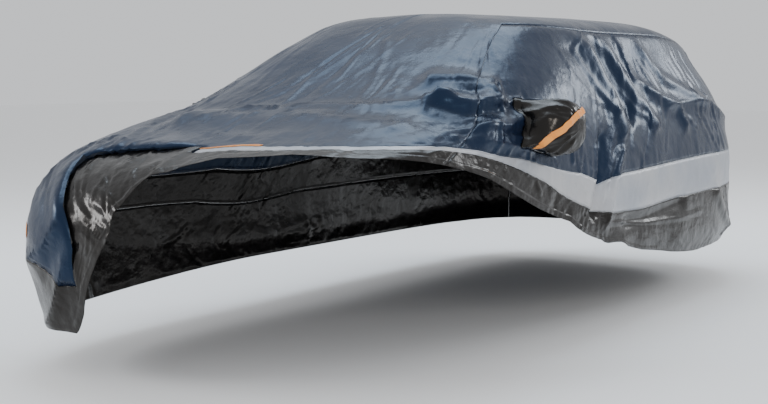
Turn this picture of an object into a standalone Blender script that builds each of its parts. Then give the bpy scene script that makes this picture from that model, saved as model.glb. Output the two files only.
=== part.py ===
"""Cover for a compact five-door hatchback, hanging over the left-out car.

The cover is sewn from sheets.  Every sheet is a set of cells of one grid that
runs round the car (columns) and down from the roof spine to the hem (rows).
The front left quarter of the hem is pulled up over the hood.

Frame: +Z up, the front of the cover towards -Y, the car's left side at +X,
origin under the middle of the roof cloth.  Metres.
"""

import math

import bmesh
import bpy
import numpy as np
from mathutils import Vector

# ---------------------------------------------------------------- dimensions
CLOTH = 0.0016            # coated cloth with its backing
TRIM = 0.0012             # reflective strip
SEAM_INSET = 0.0004       # each sheet stops this far from its seam line
SHARPEST_CORNER = 0.35    # limits how far a pointed corner moves for its inset
ROOF_HEIGHT = 1.504       # underside of the roof cloth above the ground
ROOF_MIDDLE = 0.70        # behind the middle of the wheelbase
METRES_ROUND = 11.9       # plan length of one turn round the cover
METRES_A_RING = 0.25      # mean distance from one ring to the next
MIRROR_LEAN = 0.026       # lean of the columns at the mirrors
MIRROR_RING = 5.25        # where they cross their own place

# Rings of the draped form, from the roof spine down to the lowest edge.
# Heights are above the ground, lengths from the middle of the car.
RINGS = (
    # name          front  rear   half   corner  height  height  height
    #               y      y      width  power   front   sides   rear
    ("roof spine",  -0.02, 1.45, 0.000, 2.0, 1.505, 1.505, 1.490),
    ("roof crown",  -0.20, 1.70, 0.340, 2.8, 1.495, 1.495, 1.462),
    ("roof edge",   -0.36, 1.90, 0.610, 4.2, 1.458, 1.440, 1.392),
    ("upper glass", -0.64, 2.00, 0.720, 4.4, 1.340, 1.265, 1.240),
    ("lower glass", -0.92, 2.08, 0.820, 4.6, 1.190, 1.085, 1.070),
    ("belt",        -1.22, 2.14, 0.885, 4.8, 1.060, 0.930, 0.900),
    ("shoulder",    -1.62, 2.19, 0.922, 5.0, 0.965, 0.765, 0.745),
    ("nose",        -2.00, 2.205, 0.945, 4.8, 0.850, 0.580, 0.570),
    ("bumper",      -2.18, 2.21, 0.955, 4.8, 0.670, 0.440, 0.430),
    ("chin",        -2.19, 2.20, 0.958, 4.8, 0.440, 0.330, 0.330),
    ("lower edge",  -2.15, 2.16, 0.938, 4.4, 0.190, 0.240, 0.240),
)
RING_ROWS = np.array([ring[1:] for ring in RINGS])
REFERENCE_RING = 7.0      # columns are spaced evenly along this ring

# Where the sheets end, as ring numbers, at places round the car.  Places are
# parts of one turn: 0 front middle, 0.25 left side, 0.5 rear, 0.75 right side.
EDGES = (
    # place   above   band   band    hem
    #         band    top    bottom
    (0.000,   6.40,   6.46,   6.57,   7.11),
    (0.016,   6.26,   6.35,   6.47,   6.71),
    (0.045,   6.17,   6.26,   6.37,   6.53),
    (0.073,   6.14,   6.24,   6.36,   6.65),
    (0.096,   6.10,   6.26,   6.37,   6.76),
    (0.112,   6.02,   6.26,   6.39,   6.81),
    (0.128,   5.95,   6.18,   6.42,   6.92),
    (0.150,   5.90,   6.16,   6.49,   7.05),
    (0.168,   5.88,   6.14,   6.62,   7.12),
    (0.186,   5.86,   6.12,   6.74,   7.22),
    (0.205,   5.88,   6.22,   6.86,   7.50),
    (0.218,   5.95,   6.36,   6.99,   7.70),
    (0.228,   5.85,   6.24,   7.05,   7.85),
    (0.250,   5.65,   6.17,   7.18,   8.20),
    (0.278,   5.55,   6.12,   7.24,   8.86),
    (0.315,   5.45,   6.05,   7.12,   9.40),
    (0.350,   5.40,   5.98,   7.06,   9.80),
    (0.384,   5.35,   5.93,   7.03,  10.00),
    (0.430,   5.35,   5.92,   7.00,  10.00),
    (0.570,   5.35,   5.92,   7.00,  10.00),
    (0.616,   5.35,   5.93,   7.02,  10.00),
    (0.750,   5.55,   6.12,   7.10,  10.00),
    (0.850,   5.95,   6.60,   7.55,  10.00),
    (0.900,   6.55,   7.45,   8.25,  10.00),
    (0.928,   6.80,   8.08,   8.72,  10.00),
    (0.946,   6.88,   8.12,   9.20,  10.00),
    (0.953,   6.86,   8.12,   9.20,   9.60),
    (0.958,   6.66,   7.90,   8.50,   9.25),
    (0.968,   6.57,   7.45,   7.95,   8.54),
    (0.981,   6.50,   7.05,   7.40,   7.97),
    (0.990,   6.44,   6.85,   7.15,   7.74),
    (1.000,   6.40,   6.46,   6.57,   7.11),
)
EDGE_TABLE = np.array(EDGES)

# Columns of one half, front to rear: to this place, in this many steps.
COLUMN_STEPS = ((0.047, 6), (0.092, 4), (0.120, 3), (0.152, 4), (0.222, 5),
                (0.360, 8), (0.430, 6), (0.500, 4))
ROOF_SEAM = 2.25          # ring number of the seam along the roof edge
ROOF_ROWS = 3
GLASS_ROWS = 8            # roof seam to just above the band
OVER_BAND_ROWS = 2
BAND_ROWS = 3
SKIRT_ROWS = 3
ROW_COUNTS = (ROOF_ROWS, GLASS_ROWS, OVER_BAND_ROWS, BAND_ROWS, SKIRT_ROWS)

# Ends of the sheets round the car.
FRONT_SEAM = 0.092        # centre panel to side panel, both sides
REAR_SEAM = 0.430
CORNER_FOLD = 0.953       # upright fold of the outer cloth at the right front
BAND_END = 0.931          # front end of the right band

# Soft ridges (+) and troughs (-) of the main folds, each along a line.
FOLDS = (
    # name                 width  height  line as (place, ring) points
    ("fan, first",         0.070, 0.034, ((0.172, 2.2), (0.192, 3.0), (0.216, 4.2), (0.228, 5.0))),
    ("fan, trough",        0.060, -0.020, ((0.186, 2.2), (0.212, 3.0), (0.240, 4.6))),
    ("fan, second",        0.060, 0.020, ((0.202, 2.2), (0.232, 3.4), (0.270, 4.9))),
    ("fan, third",         0.055, 0.020, ((0.224, 2.2), (0.250, 3.6), (0.308, 4.4), (0.318, 5.0))),
    ("fan, fourth",        0.055, 0.018, ((0.262, 2.2), (0.302, 3.4), (0.362, 4.3))),
    ("swag at the rear",   0.070, 0.020, ((0.292, 4.3), (0.330, 4.2), (0.368, 4.2), (0.407, 4.8))),
    ("screen foot, long",  0.055, 0.026, ((0.960, 5.5), (0.980, 5.2), (0.042, 5.0), (0.071, 4.8))),
    ("screen foot, low",   0.050, 0.020, ((0.965, 5.6), (0.024, 5.4), (0.040, 5.5), (0.062, 5.65))),
    ("screen foot, loop",  0.075, 0.050, ((0.067, 4.8), (0.088, 4.9), (0.108, 4.7))),
    ("screen foot, peak",  0.070, 0.032, ((0.056, 4.1), (0.080, 4.15), (0.104, 4.3))),
    ("pocket, upper pull", 0.060, 0.040, ((0.098, 5.6), (0.114, 5.4), (0.130, 5.1))),
    ("pocket, lower pull", 0.050, 0.026, ((0.100, 6.0), (0.114, 5.9), (0.130, 5.8))),
    ("notch",              0.060, -0.035, ((0.206, 5.2), (0.214, 6.0), (0.219, 7.0))),
    ("behind the notch",   0.060, 0.020, ((0.232, 5.6), (0.236, 6.4), (0.240, 7.3))),
    ("below the band",     0.070, -0.020, ((0.258, 7.6), (0.290, 7.5), (0.320, 7.3))),
    ("rear skirt",         0.060, 0.018, ((0.372, 7.2), (0.400, 9.0))),
    ("corner, outer",      0.060, 0.022, ((0.951, 7.9), (0.945, 8.3), (0.933, 8.9))),
    ("corner, low",        0.050, 0.022, ((0.949, 8.9), (0.941, 9.4), (0.935, 9.9))),
    ("corner, side",       0.060, -0.020, ((0.925, 7.8), (0.915, 8.6), (0.912, 9.6))),
    ("right side, first",  0.060, 0.022, ((0.850, 2.3), (0.822, 3.6), (0.790, 4.9))),
    ("right side, second", 0.060, 0.020, ((0.800, 2.3), (0.765, 3.6), (0.720, 5.0))),
    ("right side, third",  0.060, 0.018, ((0.745, 2.3), (0.700, 3.6), (0.650, 4.8))),
    ("tail, left",         0.070, 0.018, ((0.445, 2.4), (0.460, 5.6))),
    ("tail, right",        0.070, 0.018, ((0.555, 2.4), (0.535, 5.6))),
)

# The outer cloth lies folded over the gathered skirt along this line.
FOLD_LINE = ((0.953, 9.20), (0.953, 6.86), (0.958, 6.66), (0.968, 6.57), (0.981, 6.50),
             (1.000, 6.40))
FOLD_RISE = 0.010         # outer cloth above the form at the fold
SKIRT_SINK = 0.008        # skirt below the form at the fold
FOLD_REACH = 0.014        # how far the outer cloth reaches over the skirt
FOLD_FADE = 0.10          # how far from the fold both are back on the form
FOLD_END = 1.000          # place where the fold ends on the hood
FOLD_FADE_PLACE = 0.016   # share of a turn in which it comes up from that end
FOLD_FADE_RINGS = 0.9     # rings in which it comes up from its low end
FOLD_FELT = 0.02          # share of a turn beside the fold that still feels it

# Mirror pocket, as loops from the rim in the side panel out to the tip.
POCKET_PLACES = (0.120, 0.152)
POCKET_ROWS = (8, 11)     # rows of cells that the opening takes
POCKET_LOOPS = (
    # name      out    half    half    back    up      share of the
    #                  length  height                  rim's shape
    ("root",    0.030, 0.168,  0.126, -0.006, -0.006,  1.00),
    ("middle",  0.085, 0.158,  0.128,  0.000, -0.006,  0.50),
    ("face",    0.140, 0.134,  0.116,  0.010, -0.002,  0.20),
    ("edge",    0.182, 0.092,  0.082,  0.020,  0.000,  0.05),
    ("tip",     0.200, 0.040,  0.036,  0.024,  0.000,  0.00),
)
RIM_INSET = 0.0030        # rim of the pocket inside the opening's edge
RIM_TAPER = 0.93          # size of the rim's shape a little way out
POCKET_POWER = 2.6        # squareness of a loop

# Middle line of the pocket's orange strip, from the low inner end in front to
# the upper outer end: loop number, and degrees round the loop (0 to the rear,
# 90 up, 180 to the front).
POCKET_STRIP_LINE = (
    # loop   round
    (1.45,   208.0),
    (2.00,   204.0),
    (3.00,   192.0),
    (3.90,   180.0),
    (4.50,   160.0),
    (4.72,   122.0),
    (4.55,    80.0),
    (4.15,    56.0),
)
POCKET_STRIP_STEPS = 16   # stretches along the strip
POCKET_STRIP_WIDTH = 0.030
POCKET_STRIP_GAP = 0.0120 # strip above the faceted cloth of the pocket
STRIP_INSET = 0.006       # strip on the panels inside its cells, each side
TRIM_GAP = 0.0016         # strip above the cloth that it is sewn on

# Colours (linear), roughness
NAVY = ((0.012, 0.020, 0.048), 0.30)
BLACK = ((0.010, 0.010, 0.012), 0.28)
SILVER = ((0.42, 0.43, 0.45), 0.38)
ORANGE = ((0.85, 0.27, 0.03), 0.45)


# steps over which slopes are taken, and the ring ends they keep away from
STEP_PLACE, STEP_RING, RING_END = 0.0015, 0.04, 0.05
STEP_LOOP, STEP_ANGLE = 0.15, 0.25


# ---------------------------------------------------------------- the form
def smoothstep(value):
    value = np.clip(value, 0.0, 1.0)
    return value * value * (3.0 - 2.0 * value)


def ring_row(ring):
    """The form's seven columns at any ring number, on a smooth curve."""
    last = len(RING_ROWS) - 1
    ring = np.clip(np.asarray(ring, float), 0.0, last - 1e-9)
    low = np.floor(ring).astype(int)
    part = (ring - low)[..., None]
    before, here = RING_ROWS[np.clip(low - 1, 0, last)], RING_ROWS[low]
    after, beyond = RING_ROWS[np.clip(low + 1, 0, last)], RING_ROWS[np.clip(low + 2, 0, last)]
    slope_here, slope_after = (after - before) / 2.0, (beyond - here) / 2.0
    square, cube = part ** 2, part ** 3
    return ((2 * cube - 3 * square + 1) * here + (cube - 2 * square + part) * slope_here
            + (3 * square - 2 * cube) * after + (cube - square) * slope_after)


def rounded(value, power):
    return np.sign(value) * np.abs(value) ** (2.0 / power)


def on_ring(angle, ring):
    """Point of the smooth form, from the plan angle and the ring number."""
    front, rear, half, power, z_front, z_side, z_rear = np.moveaxis(ring_row(ring), -1, 0)
    along = rounded(np.cos(angle), power)
    x = half * rounded(np.sin(angle), power)
    y = (front + rear) / 2.0 - (rear - front) / 2.0 * along
    to_front = smoothstep((along - 0.15) / 0.72)
    to_rear = smoothstep((-along - 0.30) / 0.60)
    z = z_side + (z_front - z_side) * to_front + (z_rear - z_side) * to_rear
    return np.stack([x, y - ROOF_MIDDLE, z - ROOF_HEIGHT], -1)


def column_angles():
    """Plan angle against place, even along the reference ring."""
    angles = np.linspace(0.0, 2.0 * math.pi, 4001)
    points = on_ring(angles, np.full_like(angles, REFERENCE_RING))[:, :2]
    steps = np.hypot(*np.diff(points, axis=0).T)
    travel = np.concatenate([[0.0], np.cumsum(steps)])
    return travel / travel[-1], angles


PLACE_TABLE, ANGLE_TABLE = column_angles()


def lean(place, ring):
    """How far a column leans out of its own place, so that it hangs upright.

    One lean is at the fold of the right front corner.  The other is at both
    mirrors, where the rings lie far behind each other.
    """
    corner = smoothstep((place - 0.900) / 0.045) * smoothstep((1.0 - place) / 0.030)
    half = np.minimum(place, 1.0 - place)
    mirror = smoothstep((half - 0.055) / 0.060) * smoothstep((0.250 - half) / 0.105)
    upright = MIRROR_LEAN * np.tanh((ring - MIRROR_RING) / 0.85) * np.sign(0.5 - place)
    return 0.019 * corner * smoothstep((ring - 6.8) / 1.8) + mirror * upright


def smooth_form(place, ring):
    place, ring = np.broadcast_arrays(np.asarray(place, float) % 1.0, np.asarray(ring, float))
    leaned = place + lean(place, ring)
    return on_ring(np.interp(leaned % 1.0, PLACE_TABLE, ANGLE_TABLE), ring)


def form_normal(place, ring):
    """Outward unit normal of the smooth form."""
    place, ring = np.broadcast_arrays(np.asarray(place, float), np.asarray(ring, float))
    ring = np.clip(ring, RING_END, len(RINGS) - 1 - RING_END)
    round_it = smooth_form(place + STEP_PLACE, ring) - smooth_form(place - STEP_PLACE, ring)
    down_it = smooth_form(place, ring + STEP_RING) - smooth_form(place, ring - STEP_RING)
    normal = np.cross(down_it, round_it)
    return normal / np.maximum(np.linalg.norm(normal, axis=-1, keepdims=True), 1e-12)


def distance_to_line(place, ring, line):
    """Distance on the cloth, in metres, from a point to a line of (place, ring) points."""
    nearest = np.full(np.broadcast(place, ring).shape, np.inf)
    for (place_a, ring_a), (place_b, ring_b) in zip(line, line[1:]):
        run_place = ((place_b - place_a + 0.5) % 1.0 - 0.5) * METRES_ROUND
        run_ring = (ring_b - ring_a) * METRES_A_RING
        off_place = ((place - place_a + 0.5) % 1.0 - 0.5) * METRES_ROUND
        off_ring = (ring - ring_a) * METRES_A_RING
        share = (off_place * run_place + off_ring * run_ring) / (run_place ** 2 + run_ring ** 2)
        share = np.clip(share, 0.0, 1.0)
        away = np.hypot(off_place - share * run_place, off_ring - share * run_ring)
        nearest = np.minimum(nearest, away)
    return nearest


def fold_height(place, ring):
    """Sum of the soft ridges and troughs at a point of the form."""
    total = np.zeros(np.broadcast(place, ring).shape)
    for _, width, height, line in FOLDS:
        total += height * np.exp(-(distance_to_line(place, ring, line) / width) ** 2)
    return total * smoothstep((np.asarray(ring) - ROOF_SEAM) / 0.6)


def fold_window(place, ring):
    """1 along the middle of the folded stretch, 0 at its two ends."""
    low_end = smoothstep((FOLD_LINE[0][1] - ring) / FOLD_FADE_RINGS)
    return low_end * smoothstep((FOLD_END - np.asarray(place)) / FOLD_FADE_PLACE)


def cloth_point(place, ring, rise=0.0):
    height = fold_height(place, ring) + rise
    return smooth_form(place, ring) + form_normal(place, ring) * np.asarray(height)[..., None]


# ---------------------------------------------------------------- the grid
def half_places():
    places, start = [0.0], 0.0
    for stop, steps in COLUMN_STEPS:
        places += [start + (stop - start) * (k + 1) / steps for k in range(steps)]
        start = stop
    return places


def all_places():
    half = half_places()
    return np.array(half + [1.0 - place for place in reversed(half[1:-1])])


def edge_at(place, column):
    return np.interp(place % 1.0, EDGE_TABLE[:, 0], EDGE_TABLE[:, column])


def column_rings(place):
    """Ring numbers of every row of one column."""
    knots = [0.0, ROOF_SEAM] + [float(edge_at(place, column)) for column in (1, 2, 3, 4)]
    rings = [0.0]
    for count, top, bottom in zip(ROW_COUNTS, knots, knots[1:]):
        rings += [top + (bottom - top) * (k + 1) / count for k in range(count)]
    return rings


PLACES = all_places()
RING_GRID = np.array([column_rings(place) for place in PLACES])
FIRST_GLASS = ROOF_ROWS
FIRST_OVER_BAND = FIRST_GLASS + GLASS_ROWS
FIRST_BAND = FIRST_OVER_BAND + OVER_BAND_ROWS
FIRST_SKIRT = FIRST_BAND + BAND_ROWS
LAST_ROW = FIRST_SKIRT + SKIRT_ROWS


def cell_middle(column):
    here = PLACES[column]
    after = PLACES[column + 1] if column + 1 < len(PLACES) else 1.0
    return (here + after) / 2.0


def sheet_of_cell(column, row):
    """Name of the sheet that a cell belongs to, or None in a pocket's opening."""
    place = cell_middle(column)
    mirrored = min(place, 1.0 - place)
    side = "left" if place < 0.5 else "right"
    folded = place > CORNER_FOLD
    at_front, at_rear = mirrored < FRONT_SEAM, mirrored > REAR_SEAM
    region = "front" if at_front else "rear" if at_rear else side
    if row < FIRST_GLASS:
        return "centre_panel"
    if row >= FIRST_SKIRT or (folded and row >= FIRST_OVER_BAND):
        return f"{region}_skirt"
    if row >= FIRST_BAND and (place < 0.5 or place < BAND_END):
        return "rear_band" if at_rear else f"{side}_band"
    if at_front or at_rear:
        return "centre_panel"
    in_opening = (POCKET_PLACES[0] < mirrored < POCKET_PLACES[1]
                  and POCKET_ROWS[0] <= row < POCKET_ROWS[1])
    return None if in_opening else f"{side}_side_panel"


HOOD_STRIP_COLUMNS = (0, 3)
CORNER_STRIP_COLUMNS = tuple(int(np.argmin(abs(PLACES - place))) for place in (0.919, 0.9305))


# ---------------------------------------------------------------- mesh tools
def new_material(name, finish):
    colour, roughness = finish
    material = bpy.data.materials.new(name)
    material.use_nodes = True
    shader = material.node_tree.nodes["Principled BSDF"]
    shader.inputs["Base Color"].default_value = (*colour, 1.0)
    shader.inputs["Roughness"].default_value = roughness
    shader.inputs["Metallic"].default_value = 0.0
    return material


def inset_border(mesh, inset_layer):
    """Move each border vertex into the sheet by its own inset (out of it if negative)."""
    moves = {}
    for vertex in mesh.verts:
        borders = [edge for edge in vertex.link_edges if edge.is_boundary]
        if not borders:
            continue
        inward = Vector((0.0, 0.0, 0.0))
        for edge in borders:
            along = (edge.verts[1].co - edge.verts[0].co).normalized()
            across = vertex.normal.cross(along).normalized()
            if across.dot(edge.link_faces[0].calc_center_median() - edge.verts[0].co) < 0.0:
                across.negate()
            inward += across
        if inward.length > 1e-6:
            corner = max(SHARPEST_CORNER, inward.length / len(borders))
            moves[vertex] = inward.normalized() * (vertex[inset_layer] / corner)
    for vertex, move in moves.items():
        vertex.co += move


def sheet_object(name, points, faces, insets, finish, thickness, collection, lift=0.0):
    """An open sheet from points and faces, given its thickness by Solidify."""
    mesh = bmesh.new()
    inset_layer = mesh.verts.layers.float.new("inset")
    verts = []
    for point, inset in zip(points, insets):
        vertex = mesh.verts.new(point)
        vertex[inset_layer] = inset
        verts.append(vertex)
    for face in faces:
        mesh.faces.new([verts[k] for k in face])
    bmesh.ops.remove_doubles(mesh, verts=mesh.verts, dist=0.00002)
    mesh.normal_update()
    inset_border(mesh, inset_layer)
    mesh.normal_update()
    lifted = [vertex.co + vertex.normal * lift for vertex in mesh.verts]
    for vertex, point in zip(mesh.verts, lifted):
        vertex.co = point
    bmesh.ops.triangulate(mesh, faces=mesh.faces, quad_method="FIXED")
    data = bpy.data.meshes.new(name)
    mesh.to_mesh(data)
    mesh.free()
    data.materials.append(new_material(name + "_cloth", finish))
    data.shade_smooth()
    piece = bpy.data.objects.new(name, data)
    collection.objects.link(piece)
    solidify = piece.modifiers.new("thickness", "SOLIDIFY")
    solidify.thickness = thickness
    solidify.offset = 0.0
    return piece


# ---------------------------------------------------------------- the sheets
def near_fold(place, ring):
    """1 on the line where the outer cloth lies folded over the skirt, fading beside it."""
    if not CORNER_FOLD - FOLD_FELT < place < FOLD_END:
        return 0.0
    away = distance_to_line(np.array([place]), np.array([ring]), FOLD_LINE)[0]
    return float(fold_window(place, ring)) * math.exp(-(away / FOLD_FADE) ** 2)


def rise_of(name, place, ring):
    """Height of a sheet off the form beside the fold."""
    heights = {"centre_panel": FOLD_RISE, "front_skirt": -SKIRT_SINK}
    return heights[name] * near_fold(place, ring) if name in heights else 0.0


def inset_at(name, place, ring):
    """Seam allowance, or the reach of the outer cloth over the skirt at the fold."""
    if name != "centre_panel":
        return SEAM_INSET
    return SEAM_INSET - FOLD_REACH * near_fold(place, ring) ** 2


def grid_sheets():
    """Points and faces of every sheet that is cut from the grid."""
    sheets = {}
    count = len(PLACES)
    for column in range(count):
        for row in range(LAST_ROW):
            name = sheet_of_cell(column, row)
            if name is None:
                continue
            index, corners, faces = sheets.setdefault(name, ({}, [], []))
            face = []
            for step, level in ((column, row), (column, row + 1), (column + 1, row + 1),
                                (column + 1, row)):
                key = (step % count, level)
                if key not in index:
                    index[key] = len(corners)
                    corners.append(key)
                face.append(index[key])
            faces.append(face)
    return sheets


def grid_points(name, keys):
    places = np.array([PLACES[column] for column, _ in keys])
    rings = np.array([RING_GRID[column, row] for column, row in keys])
    rises = np.array([rise_of(name, place, ring) for place, ring in zip(places, rings)])
    return cloth_point(places, rings, rises)


def grid_insets(name, keys):
    return [inset_at(name, PLACES[column], RING_GRID[column, row]) for column, row in keys]


def without_degenerate(points, faces):
    kept = []
    for face in faces:
        corners = []
        for k in face:
            if all(np.linalg.norm(points[k] - points[j]) > 1e-6 for j in corners):
                corners.append(k)
        if len(corners) > 2:
            kept.append(corners)
    return kept


FINISHES = {"centre_panel": NAVY, "left_side_panel": NAVY, "right_side_panel": NAVY,
            "left_band": SILVER, "right_band": SILVER, "rear_band": SILVER}


def build_sheets(collection):
    for name, (_, keys, faces) in sorted(grid_sheets().items()):
        points = grid_points(name, keys)
        faces = without_degenerate(points, faces)
        sheet_object(name, points, faces, grid_insets(name, keys), FINISHES.get(name, BLACK),
                     CLOTH, collection)


def cell_strip(name, below, columns, row, collection):
    """A strip sewn on whole cells of the grid, from one column to another."""
    keys = [(column, level) for column in range(columns[0], columns[1] + 1)
            for level in (row, row + 1)]
    points = grid_points(below, keys)
    faces = [[k, k + 1, k + 3, k + 2] for k in range(0, len(keys) - 2, 2)]
    sheet_object(name, points, faces, [STRIP_INSET] * len(keys), ORANGE, TRIM, collection,
                 CLOTH / 2 + TRIM_GAP + TRIM / 2)


# ---------------------------------------------------------------- mirror pockets
def rim_keys(side):
    """Grid keys round a pocket's opening, in order, as (column, row)."""
    places = PLACES if side > 0 else 1.0 - PLACES
    columns = [k for k in range(len(PLACES))
               if POCKET_PLACES[0] - 1e-6 <= places[k] <= POCKET_PLACES[1] + 1e-6]
    columns.sort(key=lambda k: places[k])
    rows = list(range(POCKET_ROWS[0], POCKET_ROWS[1] + 1))
    bottom = [(column, rows[-1]) for column in columns]
    rear = [(columns[-1], row) for row in reversed(rows)]
    top = [(column, rows[0]) for column in reversed(columns)]
    front = [(columns[0], row) for row in rows]
    return bottom[:-1] + rear[:-1] + top[:-1] + front[:-1]


def pocket_frame(side):
    """Rim of a pocket's opening, its middle, and the angle of each rim point."""
    rim = grid_points("side", rim_keys(side))
    middle = rim.mean(axis=0)
    inward = middle - rim
    rim = rim + inward / np.linalg.norm(inward, axis=1, keepdims=True) * RIM_INSET
    return rim, middle, np.arctan2(rim[:, 2] - middle[2], rim[:, 1] - middle[1])


def pocket_point(side, frame, loop, angle):
    """Point of the pocket at a loop number and at an angle round the loop."""
    rim, middle, rim_angles = frame
    order = np.argsort(rim_angles)
    rim_shape = (rim - middle) * RIM_TAPER
    levels = np.arange(len(POCKET_LOOPS)) + 1.0
    out, half_length, half_height, back, up, share = (
        np.interp(loop, levels, column) for column in np.array([row[1:] for row in POCKET_LOOPS]).T)
    turned = (angle + math.pi) % (2.0 * math.pi) - math.pi
    ragged = np.array([np.interp(turned, rim_angles[order], rim_shape[order, k],
                                 period=2.0 * math.pi) for k in range(3)])
    oval = np.array([0.0, half_length * rounded(np.cos(angle), POCKET_POWER),
                     half_height * rounded(np.sin(angle), POCKET_POWER)])
    full = middle + np.array([side * out, back, up]) + share * ragged + (1.0 - share) * oval
    if loop >= 1.0:
        return full
    at_rim = middle + ragged / RIM_TAPER
    return at_rim + (full - at_rim) * loop


def pocket_normal(side, frame, loop, angle):
    """Outward normal of the pocket."""
    out = (pocket_point(side, frame, loop + STEP_LOOP, angle)
           - pocket_point(side, frame, loop - STEP_LOOP, angle))
    round_it = (pocket_point(side, frame, loop, angle + STEP_ANGLE)
                - pocket_point(side, frame, loop, angle - STEP_ANGLE))
    return np.cross(out, round_it) * -side


def pocket_loops(side):
    """Rim and loops of a pocket, each with the same number of points."""
    frame = pocket_frame(side)
    rim, _, angles = frame
    return [rim] + [np.array([pocket_point(side, frame, level + 1.0, angle) for angle in angles])
                    for level in range(len(POCKET_LOOPS))]


def pocket_mesh(side):
    loops = pocket_loops(side)
    count = len(loops[0])
    points = np.concatenate(loops)
    faces = []
    for level in range(len(loops) - 1):
        for k in range(count):
            after = (k + 1) % count
            face = [level * count + k, level * count + after,
                    (level + 1) * count + after, (level + 1) * count + k]
            faces.append(face if side > 0 else face[::-1])
    cap = [(len(loops) - 1) * count + k for k in range(count)]
    faces.append(cap if side > 0 else cap[::-1])
    return points, faces


def pocket_strip_mesh(side):
    """A ribbon of even width that lies on the pocket along its line."""
    frame = pocket_frame(side)
    line = np.array(POCKET_STRIP_LINE)
    share = np.linspace(0.0, len(line) - 1.0, POCKET_STRIP_STEPS + 1)
    loops = np.interp(share, np.arange(len(line)), line[:, 0])
    angles = np.radians(np.interp(share, np.arange(len(line)), line[:, 1]))
    middle = np.array([pocket_point(side, frame, *pair) for pair in zip(loops, angles)])
    outward = np.array([pocket_normal(side, frame, *pair) for pair in zip(loops, angles)])
    across = np.cross(outward, np.gradient(middle, axis=0))
    across *= POCKET_STRIP_WIDTH / 2.0 / np.linalg.norm(across, axis=1, keepdims=True)
    points = np.stack([middle - across, middle + across], 1).reshape(-1, 3)
    return points, [[k, k + 2, k + 3, k + 1] for k in range(0, len(points) - 2, 2)]


def build_pocket(side, collection):
    word = "left" if side > 0 else "right"
    points, faces = pocket_mesh(side)
    sheet_object(f"{word}_mirror_pocket", points, faces, [SEAM_INSET] * len(points), BLACK,
                 CLOTH, collection)
    points, faces = pocket_strip_mesh(side)
    sheet_object(f"{word}_pocket_strip", points, faces, [0.0] * len(points), ORANGE, TRIM,
                 collection, POCKET_STRIP_GAP + (CLOTH + TRIM) / 2)


# ---------------------------------------------------------------- assembly
def main():
    for old in list(bpy.data.objects):
        bpy.data.objects.remove(old, do_unlink=True)
    collection = bpy.data.collections.new("car_cover")
    bpy.context.scene.collection.children.link(collection)
    build_sheets(collection)
    cell_strip("hood_strip", "centre_panel", HOOD_STRIP_COLUMNS, FIRST_BAND - 1, collection)
    cell_strip("corner_strip", "right_band", CORNER_STRIP_COLUMNS, FIRST_BAND + 1, collection)
    for side in (1, -1):
        build_pocket(side, collection)


main()
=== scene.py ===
"""Car cover, visual model: coated cloth hanging over a left-out hatchback.

Every sheet is cut from one surface that is given by (place, ring): places are
parts of one turn round the cover, rings run from the roof spine to the hem.
Frame: +Z up, front towards -Y, the car's left side at +X.  Metres.
"""
import math

import bpy
import numpy as np
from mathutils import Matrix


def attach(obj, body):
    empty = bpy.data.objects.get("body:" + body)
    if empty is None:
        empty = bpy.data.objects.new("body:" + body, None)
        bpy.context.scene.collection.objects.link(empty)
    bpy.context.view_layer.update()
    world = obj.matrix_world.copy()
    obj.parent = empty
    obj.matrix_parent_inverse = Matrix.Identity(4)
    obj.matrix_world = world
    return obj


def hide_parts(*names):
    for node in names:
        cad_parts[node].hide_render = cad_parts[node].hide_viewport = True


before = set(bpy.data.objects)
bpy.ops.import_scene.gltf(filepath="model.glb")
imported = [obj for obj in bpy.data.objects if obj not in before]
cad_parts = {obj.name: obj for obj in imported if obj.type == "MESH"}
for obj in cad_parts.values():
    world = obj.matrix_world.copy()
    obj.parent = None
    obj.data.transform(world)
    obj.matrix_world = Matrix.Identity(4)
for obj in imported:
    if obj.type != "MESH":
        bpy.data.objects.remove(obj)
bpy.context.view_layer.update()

CLOTH = 0.0012            # coated cloth
TRIM = 0.0010             # strips sewn on the cloth
SEAM_INSET = 0.0004       # each sheet stops this far from its seam line

# steps over which slopes are taken, and the ring ends they keep away from
STEP_PLACE, STEP_RING, RING_END = 0.0015, 0.04, 0.05
ROOF_HEIGHT = 1.504       # underside of the roof cloth above the ground
ROOF_MIDDLE = 0.70        # behind the middle of the wheelbase
METRES_ROUND = 11.9       # plan length of one turn round the cover
METRES_A_RING = 0.25      # mean distance from one ring to the next
MIRROR_LEAN = 0.026       # lean of the columns at the mirrors
MIRROR_RING = 5.25        # where they cross their own place

# Rings of the draped form, from the roof spine down to the lowest edge.
# Heights are above the ground, lengths from the middle of the car.
RINGS = (
    # name          front  rear   half   corner  height  height  height
    #               y      y      width  power   front   sides   rear
    ("roof spine",  -0.02, 1.45, 0.000, 2.0, 1.505, 1.505, 1.490),
    ("roof crown",  -0.20, 1.70, 0.340, 2.8, 1.495, 1.495, 1.462),
    ("roof edge",   -0.36, 1.90, 0.610, 4.2, 1.458, 1.440, 1.392),
    ("upper glass", -0.64, 2.00, 0.720, 4.4, 1.340, 1.265, 1.240),
    ("lower glass", -0.92, 2.08, 0.820, 4.6, 1.190, 1.085, 1.070),
    ("belt",        -1.22, 2.14, 0.885, 4.8, 1.060, 0.930, 0.900),
    ("shoulder",    -1.62, 2.19, 0.922, 5.0, 0.965, 0.765, 0.745),
    ("nose",        -2.00, 2.205, 0.945, 4.8, 0.850, 0.580, 0.570),
    ("bumper",      -2.18, 2.21, 0.955, 4.8, 0.670, 0.440, 0.430),
    ("chin",        -2.19, 2.20, 0.958, 4.8, 0.440, 0.330, 0.330),
    ("lower edge",  -2.15, 2.16, 0.938, 4.4, 0.190, 0.240, 0.240),
)
RING_ROWS = np.array([ring[1:] for ring in RINGS])
REFERENCE_RING = 7.0      # columns are spaced evenly along this ring

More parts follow.
